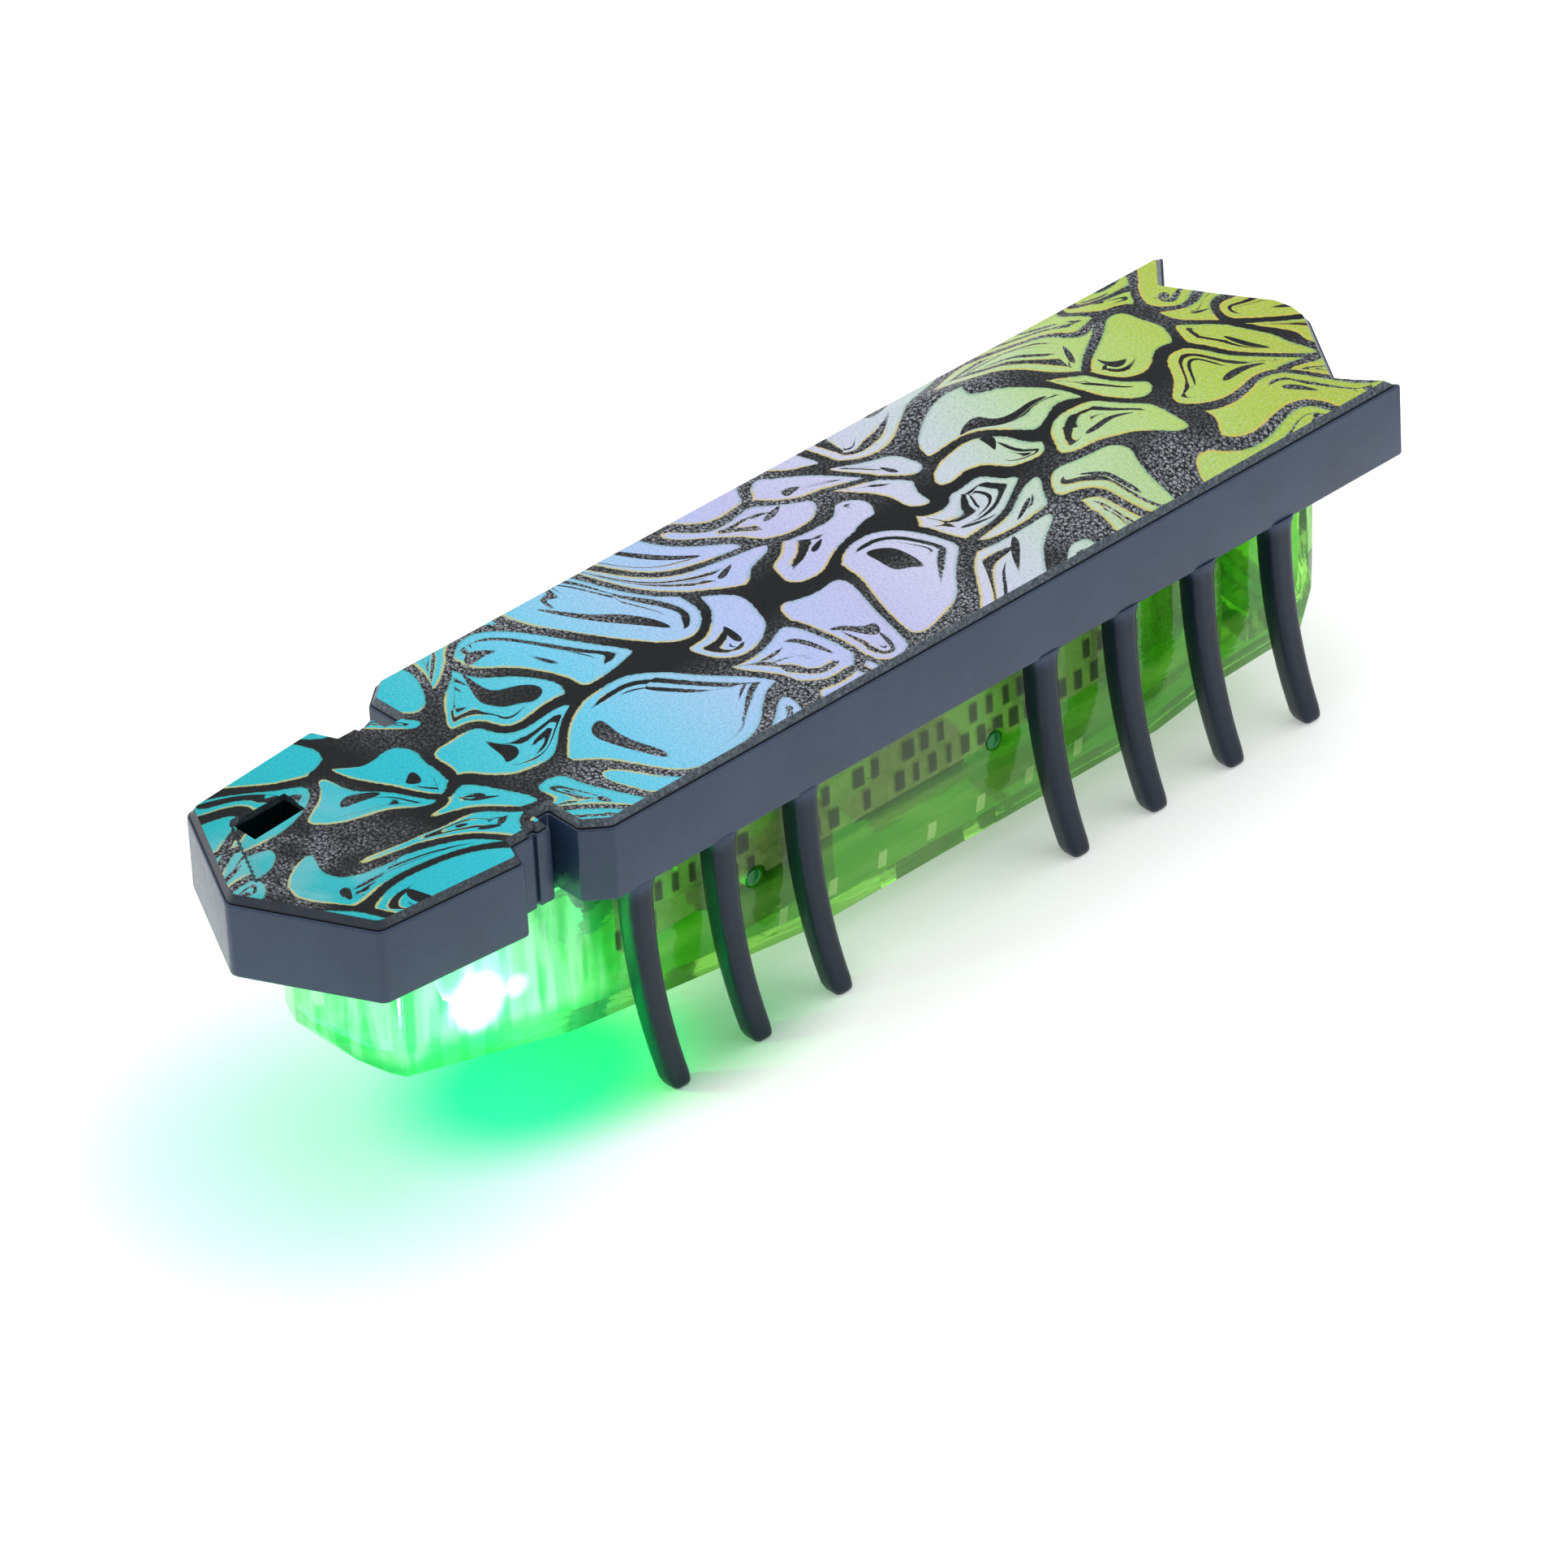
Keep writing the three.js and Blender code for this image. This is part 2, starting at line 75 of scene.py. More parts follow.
def recalc(o):
    bm = bmesh.new()
    bm.from_mesh(o.data)
    bmesh.ops.remove_doubles(bm, verts=bm.verts, dist=1e-7)
    bmesh.ops.recalc_face_normals(bm, faces=bm.faces)
    bm.to_mesh(o.data)
    bm.free()


def apply_mods(o):
    bpy.context.view_layer.update()
    dg = bpy.context.evaluated_depsgraph_get()
    me = bpy.data.meshes.new_from_object(o.evaluated_get(dg))
    o.modifiers.clear()
    old = o.data
    o.data = me
    bpy.data.meshes.remove(old)
    return o


def boolean(a, b, op):
    m = a.modifiers.new("b", "BOOLEAN")
    m.operation, m.object, m.solver = op, b, "EXACT"
    apply_mods(a)
    bpy.data.objects.remove(b)
    return a


def bevel(o, width, seg=2, angle=28.0):
    m = o.modifiers.new("bv", "BEVEL")
    m.width, m.segments, m.limit_method, m.angle_limit = width * MM, seg, "ANGLE", math.radians(angle)
    m.harden_normals = False
    m.use_clamp_overlap = True
    return m


def dissolve(o, angle=1.0):
    bm = bmesh.new()
    bm.from_mesh(o.data)
    bmesh.ops.remove_doubles(bm, verts=bm.verts, dist=1e-7)
    bmesh.ops.dissolve_limit(bm, angle_limit=math.radians(angle), verts=bm.verts, edges=bm.edges)
    bm.to_mesh(o.data)
    bm.free()


def smooth(o, angle=35.0):
    for p in o.data.polygons:
        p.use_smooth = True
    o.data.set_sharp_from_angle(angle=math.radians(angle))


def prism(name, pts, axis, lo, hi):
    """a closed outline raised along an axis: z takes (x, y), x takes (y, z), y takes (x, z)"""
    place = {"z": lambda p, h: (p[0], p[1], h), "x": lambda p, h: (h, p[0], p[1]), "y": lambda p, h: (p[0], h, p[1])}[axis]
    n = len(pts)
    verts = [place(p, lo) for p in pts] + [place(p, hi) for p in pts]
    faces = [tuple(range(n))[::-1], tuple(range(n, 2 * n))]
    faces += [(i, (i + 1) % n, n + (i + 1) % n, n + i) for i in range(n)]
    o = add_mesh(name, verts, faces)
    recalc(o)
    return o


def box(name, x0, x1, y0, y1, z0, z1):
    return prism(name, [(x0, y0), (x1, y0), (x1, y1), (x0, y1)], "z", z0, z1)


def rod(name, r, axis, a, b, c1, c2, seg=24):
    pts = [(c1 + r * math.cos(2 * math.pi * i / seg), c2 + r * math.sin(2 * math.pi * i / seg)) for i in range(seg)]
    return prism(name, pts, axis, a, b)


def offset(poly, d):
    """a counter-clockwise outline moved inwards by d"""
    n = len(poly)
    out = []
    for i in range(n):
        p0, p1, p2 = (np.array(poly[(i + k) % n], float) for k in (-1, 0, 1))
        e1, e2 = p1 - p0, p2 - p1
        e1 /= np.linalg.norm(e1)
        e2 /= np.linalg.norm(e2)
        n1, n2 = np.array((-e1[1], e1[0])), np.array((-e2[1], e2[0]))
        k = (n1 + n2) / (1 + n1 @ n2)
        out.append(tuple(p1 + k * d))
    return out


def fillet(poly, radii, seg=5):
    n = len(poly)
    out = []
    for i in range(n):
        p0, p1, p2 = (np.array(poly[(i + k) % n], float) for k in (-1, 0, 1))
        a, b = p0 - p1, p2 - p1
        la, lb = np.linalg.norm(a), np.linalg.norm(b)
        a, b = a / la, b / lb
        ang = math.acos(max(-1, min(1, a @ b)))
        t = min(radii[i] / max(math.tan(ang / 2), 1e-6), 0.45 * la, 0.45 * lb)
        r = t * math.tan(ang / 2)
        s, e = p1 + a * t, p1 + b * t
        bis = a + b
        if np.linalg.norm(bis) < 1e-6:
            out += [tuple(p1)] * (seg + 1)
            continue
        c = p1 + bis / np.linalg.norm(bis) * (r / math.sin(ang / 2))
        for k in range(seg + 1):
            f = k / seg
            q = s * (1 - f) + e * f - c
            q = q / np.linalg.norm(q) * r + c
            out.append(tuple(q))
    return out


def loft(name, rings, close=True):
    n = len(rings[0])
    verts = [v for r in rings for v in r]
    faces = []
    for k in range(len(rings) - 1):
        for i in range(n):
            j = (i + 1) % n
            faces.append((k * n + i, k * n + j, (k + 1) * n + j, (k + 1) * n + i))
    if close:
        faces.append(tuple(range(n))[::-1])
        faces.append(tuple(range((len(rings) - 1) * n, len(rings) * n)))
    o = add_mesh(name, verts, faces)
    recalc(o)
    return o


# ------------------------------------------------------------ plan outlines
DECK_HALF = [((0, -27.84), 0.5), ((5.57, -25.04), 0.45), ((6.15, -18.4), 0.22), ((5.05, -17.95), 0.12),
             ((5.05, -17.06), 0.03), ((4.86, -17.02), 0.03), ((4.86, -16.88), 0.03), ((5.05, -16.84), 0.03),
             ((5.05, -16.14), 0.08), ((4.30, -16.14), 0.10), ((4.30, -15.62), 0.10), ((5.95, -15.62), 0.2),
             ((6.8, -14.55), 0.3), ((6.72, 27.0), 0.06), ((4.84, 25.3), 0.25), ((0.9, 27.7), 0.6), ((0, 27.84), 0.6)]
_pts = DECK_HALF + [((-p[0], p[1]), r) for p, r in DECK_HALF[::-1] if p[0] > 1e-6]
DECK = [p for p, r in _pts]
DECK_R = [r for p, r in _pts]
SLAB_Z0, SLAB_Z1, COVER_Z = 10.0, 13.25, 13.65


def deck_ring(inset, z, seg=5):
    p = offset(DECK, inset)
    return [(x, y, z if not callable(z) else z(x, y)) for x, y in fillet(p, DECK_R, seg)]


# height of the printed back: rolled edges, nose panel, hump over the cell
def plane(p, q, r):
    p, q, r = map(np.array, (p, q, r))
    n = np.cross(q - p, r - p)
    return lambda x, y: p[2] - (n[0] * (x - p[0]) + n[1] * (y - p[1])) / n[2]


H_PLANES = [plane((0, 10.1, 0), (1, 10.1, 0), (0, 14.4, 1.2)),
            plane((6.5, 10.1, 0), (3.7, 14.4, 1.2), (6.5, 26.6, -0.15)),
            plane((3.7, 14.4, 1.2), (-3.7, 14.4, 1.2), (2.7, 27.2, -0.1)),
            plane((3.7, 14.4, 1.2), (2.7, 27.2, -0.1), (6.5, 26.6, -0.15))]


def back_z(x, y):
    ax = abs(x)
    hs = [f(ax, y) for f in H_PLANES]
    k = 0.05
    m = min(hs)
    h = m - k * math.log(sum(math.exp(-(v - m) / k) for v in hs))
    hump = max(0.0, h + 0.05) if y > 9.5 else 0.0
    if hump > 0:
        hump = math.sqrt(hump * hump + 0.0016) - 0.04
    z = COVER_Z - 0.04 * min(1.0, ax / 6.55) ** 5
    # sunken panel on the nose, tilted down to the front
    if y < -19.0:
        side = (3.98 - 0.29 * (y + 25.6)) if y < -24 else 3.53 - (y + 24.1) * 0.29
        d_side = side - ax
        d_front = (y - (-26.35 + 0.50 * ax))
        d = min(d_side, d_front)
        w = min(1.0, max(0.0, d / 0.14))
        w = w * w * (3 - 2 * w)
        deep = 0.30 * min(1.0, max(0.0, (-19.9 - y) / 5.2))
        z -= deep * w
    return min(z + hump, 14.85)


# -------------------------------------------------------------- node helper
def lin(r, g, b):
    f = lambda c: (c / 255 / 12.92) if c / 255 <= 0.04045 else ((c / 255 + 0.055) / 1.055) ** 2.4
    return (f(r), f(g), f(b), 1.0)


class Mat:
    def __init__(s, name):
        s.m = bpy.data.materials.new(name)
        s.m.use_nodes = True
        s.t = s.m.node_tree
        s.t.nodes.clear()
        s.out = s.t.nodes.new("ShaderNodeOutputMaterial")
        tc = s.t.nodes.new("ShaderNodeTexCoord")
        s.p = s.vec("MULTIPLY", tc.outputs["Object"], (1000, 1000, 1000))

    def put(s, sock, v):
        if isinstance(v, bpy.types.NodeSocket):
            s.t.links.new(v, sock)
        elif v is not None:
            if sock.type == "RGBA" and len(v) == 3:
                v = (*v, 1)
            sock.default_value = v

    def n(s, kind, ins=(), **props):
        node = s.t.nodes.new("ShaderNode" + kind)
        for k, v in props.items():
            setattr(node, k, v)
        for k, v in dict(ins).items():
            s.put(node.inputs[k], v)
        return node

    def vec(s, op, a, b=None, out="Vector"):
        node = s.t.nodes.new("ShaderNodeVectorMath")
        node.operation = op
        s.put(node.inputs[0], a)
        if b is not None:
            s.put(node.inputs[3 if op == "SCALE" else 1], b)
        return node.outputs[out]

    def math(s, op, a, b=None, c=None, clamp=False):
        node = s.t.nodes.new("ShaderNodeMath")
        node.operation, node.use_clamp = op, clamp
        for i, v in enumerate((a, b, c)):
            if v is not None:
                s.put(node.inputs[i], v)
        return node.outputs[0]

    def step(s, v, lo, hi, a=0.0, b=1.0, kind="SMOOTHSTEP"):
        node = s.n("MapRange", {"Value": v, "From Min": lo, "From Max": hi, "To Min": a, "To Max": b}, interpolation_type=kind)
        return node.outputs["Result"]

    def noise(s, v, scale, detail=2.0, rough=0.5, dist=0.0, out="Fac", dim="3D"):
        node = s.n("TexNoise", {"Vector": v, "Scale": scale, "Detail": detail, "Roughness": rough, "Distortion": dist}, noise_dimensions=dim)
        return node.outputs[out]

    def mix(s, f, a, b, blend="MIX"):
        node = s.t.nodes.new("ShaderNodeMix")
        node.data_type, node.blend_type = "RGBA", blend
        s.put(node.inputs[0], f)
        s.put(node.inputs[6], a)
        s.put(node.inputs[7], b)
        return node.outputs[2]

    def ramp(s, f, stops, interp="LINEAR"):
        node = s.n("ValToRGB", {"Fac": f})
        cr = node.color_ramp
        cr.interpolation = interp
        cr.elements[0].position, cr.elements[0].color = stops[0]
        cr.elements[1].position, cr.elements[1].color = stops[-1]
        for p, c in stops[1:-1]:
            e = cr.elements.new(p)
            e.color = c
        return node.outputs["Color"]

    def bump(s, h, dist, strength=1.0, normal=None):
        ins = {"Height": h, "Distance": dist * MM, "Strength": strength}
        if normal is not None:
            ins["Normal"] = normal
        return s.n("Bump", ins).outputs["Normal"]

    def xyz(s, v):
        node = s.n("SeparateXYZ", {"Vector": v})
        return node.outputs

    def surface(s, **ins):
        node = s.t.nodes.new("ShaderNodeBsdfPrincipled")
        for k, v in ins.items():
            s.put(node.inputs[k.replace("_", " ")], v)
        s.t.links.new(node.outputs[0], s.out.inputs["Surface"])
        return node


def assign(o, *mats):
    o.data.materials.clear()
    for m in mats:
        o.data.materials.append(m.m)


# ---------------------------------------------------------------- materials
def rubber_material(name, base, dark, leg, shine=0.45):
    m = Mat(name)
    zz = m.xyz(m.p)[2]
    big = m.noise(m.p, 0.35, 3.0)
    fine = m.noise(m.p, 2.4, 2.0, 0.5)
    c = m.mix(m.step(big, 0.35, 0.68), dark, base)
    c = m.mix(m.math("MULTIPLY", m.step(fine, 0.4, 0.75), 0.10), c, lin(60, 76, 100))
    # painted shade: below the slab the base colour turns to the darker leg colour, standing in for the shade under the
    # deck
    c = m.mix(m.step(zz, 10.1, 9.3), c, m.mix(m.step(big, 0.35, 0.68), tuple(v * 0.85 for v in leg[:3]), leg))
    rough = m.math("ADD", m.step(m.noise(m.p, 3.0, 4.0), 0.3, 0.7, 0.27, 0.34, "LINEAR"), m.step(zz, 10.1, 9.3, 0.0, 0.02))
    h = m.math("MULTIPLY", fine, 0.7)
    # painted shade: the walls inside the hole through the nose are painted a deep dark teal
    sx, sy, sz = m.xyz(m.p)
    slot_painted_shade = m.math("MULTIPLY", m.step(m.math("ABSOLUTE", m.math("ADD", sx, 2.9)), 0.60, 0.64, 1.0, 0.0), m.step(m.math("ABSOLUTE", m.math("ADD", sy, 23.15)), 1.25, 1.29, 1.0, 0.0))
    c = m.mix(slot_painted_shade, c, lin(2, 20, 24))
    m.surface(Base_Color=c, Roughness=rough, Normal=m.bump(h, 0.014, 0.40), Specular_IOR_Level=shine)
    return m


# the last colour given is the darker leg tone, painted shade for the legs and the deck's underside
RUBBER = rubber_material("rubber_satin", lin(40, 58, 84), lin(34, 51, 76), lin(14, 26, 44))
RUBBER_LEG = rubber_material("rubber_leg", lin(40, 58, 84), lin(34, 51, 76), lin(12, 27, 46), 0.30)


def print_material():
    """black grained film with a marbled print: rounded cells, part contour lines and a seed in each"""
    m = Mat("printed_film")
    x, y, z = m.xyz(m.p)
    flat = m.n("CombineXYZ", {"X": x, "Y": y, "Z": 0.0}).outputs[0]

    def warp(v, scale, amount, seed):
        q = m.vec("ADD", v, (seed, seed * 1.7, seed * 0.3))
        c = m.vec("SUBTRACT", m.noise(q, scale, 0.0, out="Color"), (0.5, 0.5, 0.5))
        return m.vec("ADD", v, m.vec("MULTIPLY", c, (amount, amount, 0.0)))

    def field(v):
        w = warp(v, 0.10, 9.0, 11.0)
        w = warp(w, 0.24, 5.0, 37.0)
        # flow lines lean a little across the back
        w = m.n("VectorRotate", {"Vector": w, "Angle": 0.55}, rotation_type="Z_AXIS").outputs[0]
        w = m.vec("MULTIPLY", w, (1.18, 0.84, 0.0))
        f1, f2 = (m.n("TexVoronoi", {"Vector": w, "Scale": 0.248, "Randomness": 0.80}, voronoi_dimensions="2D", feature=f) for f in ("F1", "F2"))
        rc = m.xyz(f1.outputs["Color"])
        gap = m.math("SUBTRACT", m.math("SUBTRACT", f2.outputs["Distance"], f1.outputs["Distance"]), 0.06)
        disc = m.math("MULTIPLY", m.math("SUBTRACT", m.step(rc[1], 0.0, 1.0, 0.54, 0.74, "LINEAR"), f1.outputs["Distance"]), 1.7)
        return m.math("SMOOTH_MIN", gap, disc, 0.40), w, f1, rc

    e, w, f1, rc = field(flat)
    # distance from the printed edge in millimetres, so every line keeps one width
    along = m.math("DIVIDE", m.math("SUBTRACT", field(m.vec("ADD", flat, (0.06, 0.0, 0.0)))[0], e), 0.06)
    across = m.math("DIVIDE", m.math("SUBTRACT", field(m.vec("ADD", flat, (0.0, 0.06, 0.0)))[0], e), 0.06)
    slope = m.math("SQRT", m.math("ADD", m.math("MULTIPLY", along, along), m.math("MULTIPLY", across, across)))
    e = m.math("SUBTRACT", m.math("DIVIDE", e, m.math("MAXIMUM", slope, 0.16)), 0.10)
    ragged = m.math("MULTIPLY", m.math("SUBTRACT", m.noise(flat, 5.0, 2.0), 0.5), 0.12)
    e = m.math("ADD", e, ragged)
    angle = m.math("MULTIPLY", rc[0], 6.2831)
    dx, dy = m.math("COSINE", angle), m.math("SINE", angle)
    local = m.vec("SUBTRACT", w, f1.outputs["Position"])
    lx, ly, _ = m.xyz(local)
    u = m.math("ADD", m.math("MULTIPLY", lx, dx), m.math("MULTIPLY", ly, dy))
    v = m.math("SUBTRACT", m.math("MULTIPLY", ly, dx), m.math("MULTIPLY", lx, dy))

    blob = m.step(e, -0.03, 0.04)

    # contour lines that follow part of each cell's edge
    def arc(at, half, side, lo, hi):
        d = m.math("ABSOLUTE", m.math("SUBTRACT", e, at))
        wide = m.math("MULTIPLY", m.step(side, lo, hi + 0.35), half)
        return m.math("MULTIPLY", m.step(m.math("SUBTRACT", d, wide), 0.0, 0.06, 1.0, 0.0), m.step(side, lo, hi))

    arc1 = arc(0.66, 0.150, v, -0.25, 0.05)
    arc2 = arc(1.36, 0.150, v, 0.30, 0.60)
    # one seed in each cell, drawn out along the flow
    su = m.math("DIVIDE", m.math("SUBTRACT", u, m.math("MULTIPLY", m.math("SUBTRACT", rc[2], 0.5), 0.7)), m.step(rc[2], 0.0, 1.0, 0.50, 0.95, "LINEAR"))
    sv = m.math("DIVIDE", m.math("ADD", v, m.math("MULTIPLY", rc[1], 0.45)), m.step(u, -0.8, 0.9, 0.34, 0.13, "LINEAR"))
    seed = m.step(m.math("ADD", m.math("MULTIPLY", su, su), m.math("MULTIPLY", sv, sv)), 0.85, 1.12, 1.0, 0.0)
    ink = m.math("MAXIMUM", m.math("MAXIMUM", arc1, arc2), seed)
    colour_mask = m.math("MULTIPLY", blob, m.math("SUBTRACT", 1.0, ink), clamp=True)

    # colour along the back
    t = m.math("ADD", m.math("DIVIDE", y, 56.0), 0.5)
    t = m.math("ADD", t, m.math("MULTIPLY", m.math("SUBTRACT", m.noise(flat, 0.12, 1.0), 0.5), 0.07))
    t = m.math("ADD", t, m.math("MULTIPLY", x, 0.004))
    hue = m.ramp(t, [(0.0, lin(0, 170, 176)), (0.06, lin(0, 176, 184)), (0.11, lin(10, 180, 194)), (0.18, lin(20, 184, 200)), (0.25, lin(60, 190, 206)),
                     (0.32, lin(98, 196, 228)), (0.39, lin(142, 194, 228)), (0.464, lin(170, 188, 234)), (0.536, lin(184, 184, 226)), (0.607, lin(196, 196, 226)),
                     (0.68, lin(190, 202, 208)), (0.75, lin(176, 206, 152)), (0.82, lin(172, 202, 100)), (0.89, lin(168, 194, 54)), (0.96, lin(168, 186, 40)), (1.0, lin(168, 184, 34))])
    glint_and_rough_noise = m.noise(flat, 9.0, 2.0, 0.7)
    # painted glints: white flecks mixed into the print colour, faint on the nose and stronger from the middle back,
    # stand in for sparkle of light on the grain; the same noise also varies roughness
    hue = m.mix(m.math("MULTIPLY", m.step(glint_and_rough_noise, 0.42, 0.68), m.step(y, -20.0, -4.0, 0.05, 0.20)), hue, lin(240, 246, 255))
    hue = m.mix(m.step(m.noise(m.vec("ADD", flat, (50.0, 0.0, 0.0)), 8.0, 1.0), 0.52, 0.72, 0.0, 0.22), hue, lin(40, 120, 140))
    # gold on one side of every printed edge, sea green on the other
    side = m.step(m.math("ADD", m.math("MULTIPLY", lx, 0.7), m.math("MULTIPLY", ly, -0.7)), -0.35, 0.35)
    ink_edge = m.math("MULTIPLY", m.step(m.math("ABSOLUTE", m.math("SUBTRACT", e, 0.66)), 0.20, 0.30, 1.0, 0.0), m.step(v, 0.05, 0.3))
    fringe = m.math("MAXIMUM", m.step(e, 0.05, 0.17, 1.0, 0.0), m.math("MULTIPLY", ink_edge, 0.9))
    fringe = m.math("MULTIPLY", fringe, m.math("ADD", m.math("MULTIPLY", side, 0.45), 0.30), clamp=True)
    hue = m.mix(fringe, hue, m.mix(side, lin(60, 156, 130), lin(206, 188, 92)))

    # black ground; the pale silver specks on it are painted sheen, strongest beside the long edges and on the nose
    grain = m.noise(flat, 6.5, 2.5, 0.7)
    grain2 = m.n("TexVoronoi", {"Vector": flat, "Scale": 5.2}, voronoi_dimensions="2D", feature="DISTANCE_TO_EDGE").outputs["Distance"]
    sheen_drift = m.step(m.noise(flat, 0.20, 2.0), 0.34, 0.56, 0.22, 1.0)
    sheen_where = m.math("MULTIPLY", m.step(m.math("ABSOLUTE", x), 0.6, 4.6), sheen_drift)
    sheen_where = m.math("MULTIPLY", sheen_where, m.step(y, -19.0, -14.0))
    # painted sheen on the nose: this mask adds silver specks and whitens the print there
    nose = m.math("MULTIPLY", m.step(y, -19.0, -22.5), m.step(m.math("ABSOLUTE", x), 3.8, 2.2))
    nose = m.math("MULTIPLY", nose, m.step(m.noise(flat, 0.4, 2.0), 0.38, 0.58, 0.15, 1.0))
    sheen_where = m.math("MAXIMUM", sheen_where, m.math("MULTIPLY", nose, 0.85))
    # painted reflection: pale silver specks mixed into the black ground
    speck = m.math("MULTIPLY", m.step(grain, 0.42, 0.58), m.step(grain2, 0.03, 0.16))
    speck = m.math("MULTIPLY", speck, sheen_where, clamp=True)
    black = m.mix(m.step(m.noise(flat, 4.0, 3.0), 0.3, 0.7), lin(5, 8, 11), lin(14, 18, 22))
    black = m.mix(m.math("MULTIPLY", speck, 0.80), black, lin(172, 178, 186))
    # painted sheen: print colours on the nose paled towards white
    painted_sheen_hue = m.mix(m.math("MULTIPLY", nose, 0.20), hue, lin(196, 208, 212))
    c = m.mix(colour_mask, black, painted_sheen_hue)

    leather = m.math("ADD", m.math("MULTIPLY", grain, 0.8), m.math("MULTIPLY", grain2, 0.9))
    h = m.math("ADD", leather, m.math("MULTIPLY", colour_mask, 0.25))
    m.surface(Base_Color=c, Roughness=m.step(glint_and_rough_noise, 0.3, 0.7, 0.34, 0.50, "LINEAR"), Normal=m.bump(h, 0.022, 0.45), Specular_IOR_Level=0.16)
    return m


PRINT = print_material()


def rim_material():
    """bevelled edge of the film: grained grey-blue, dark in the joint with the rubber and round the nose front"""
    m = Mat("film_rim")
    x, y, z = m.xyz(m.p)
    g = m.noise(m.p, 7.0, 3.0, 0.7)
    g2 = m.noise(m.p, 1.6, 2.0)
    c = m.ramp(g, [(0.30, lin(34, 42, 50)), (0.46, lin(58, 69, 78)), (0.60, lin(92, 102, 110)), (0.78, lin(136, 144, 150))])
    c = m.mix(m.step(g2, 0.4, 0.65, 0.0, 0.45), c, lin(70, 82, 94))
    front = m.step(m.math("ADD", y, m.math("MULTIPLY", m.math("ABSOLUTE", x), -0.45)), -26.6, -27.2)
    c = m.mix(m.math("MULTIPLY", front, 0.8), c, lin(42, 50, 62))
    c = m.mix(m.step(y, -15.0, -17.0, 0.0, 0.5), c, lin(28, 36, 45))
    c = m.mix(m.step(z, 13.375, 13.335), c, lin(12, 15, 19))
    m.surface(Base_Color=c, Roughness=0.38, Normal=m.bump(g, 0.02, 0.5), Specular_IOR_Level=0.4)
    return m


RIM = rim_material()


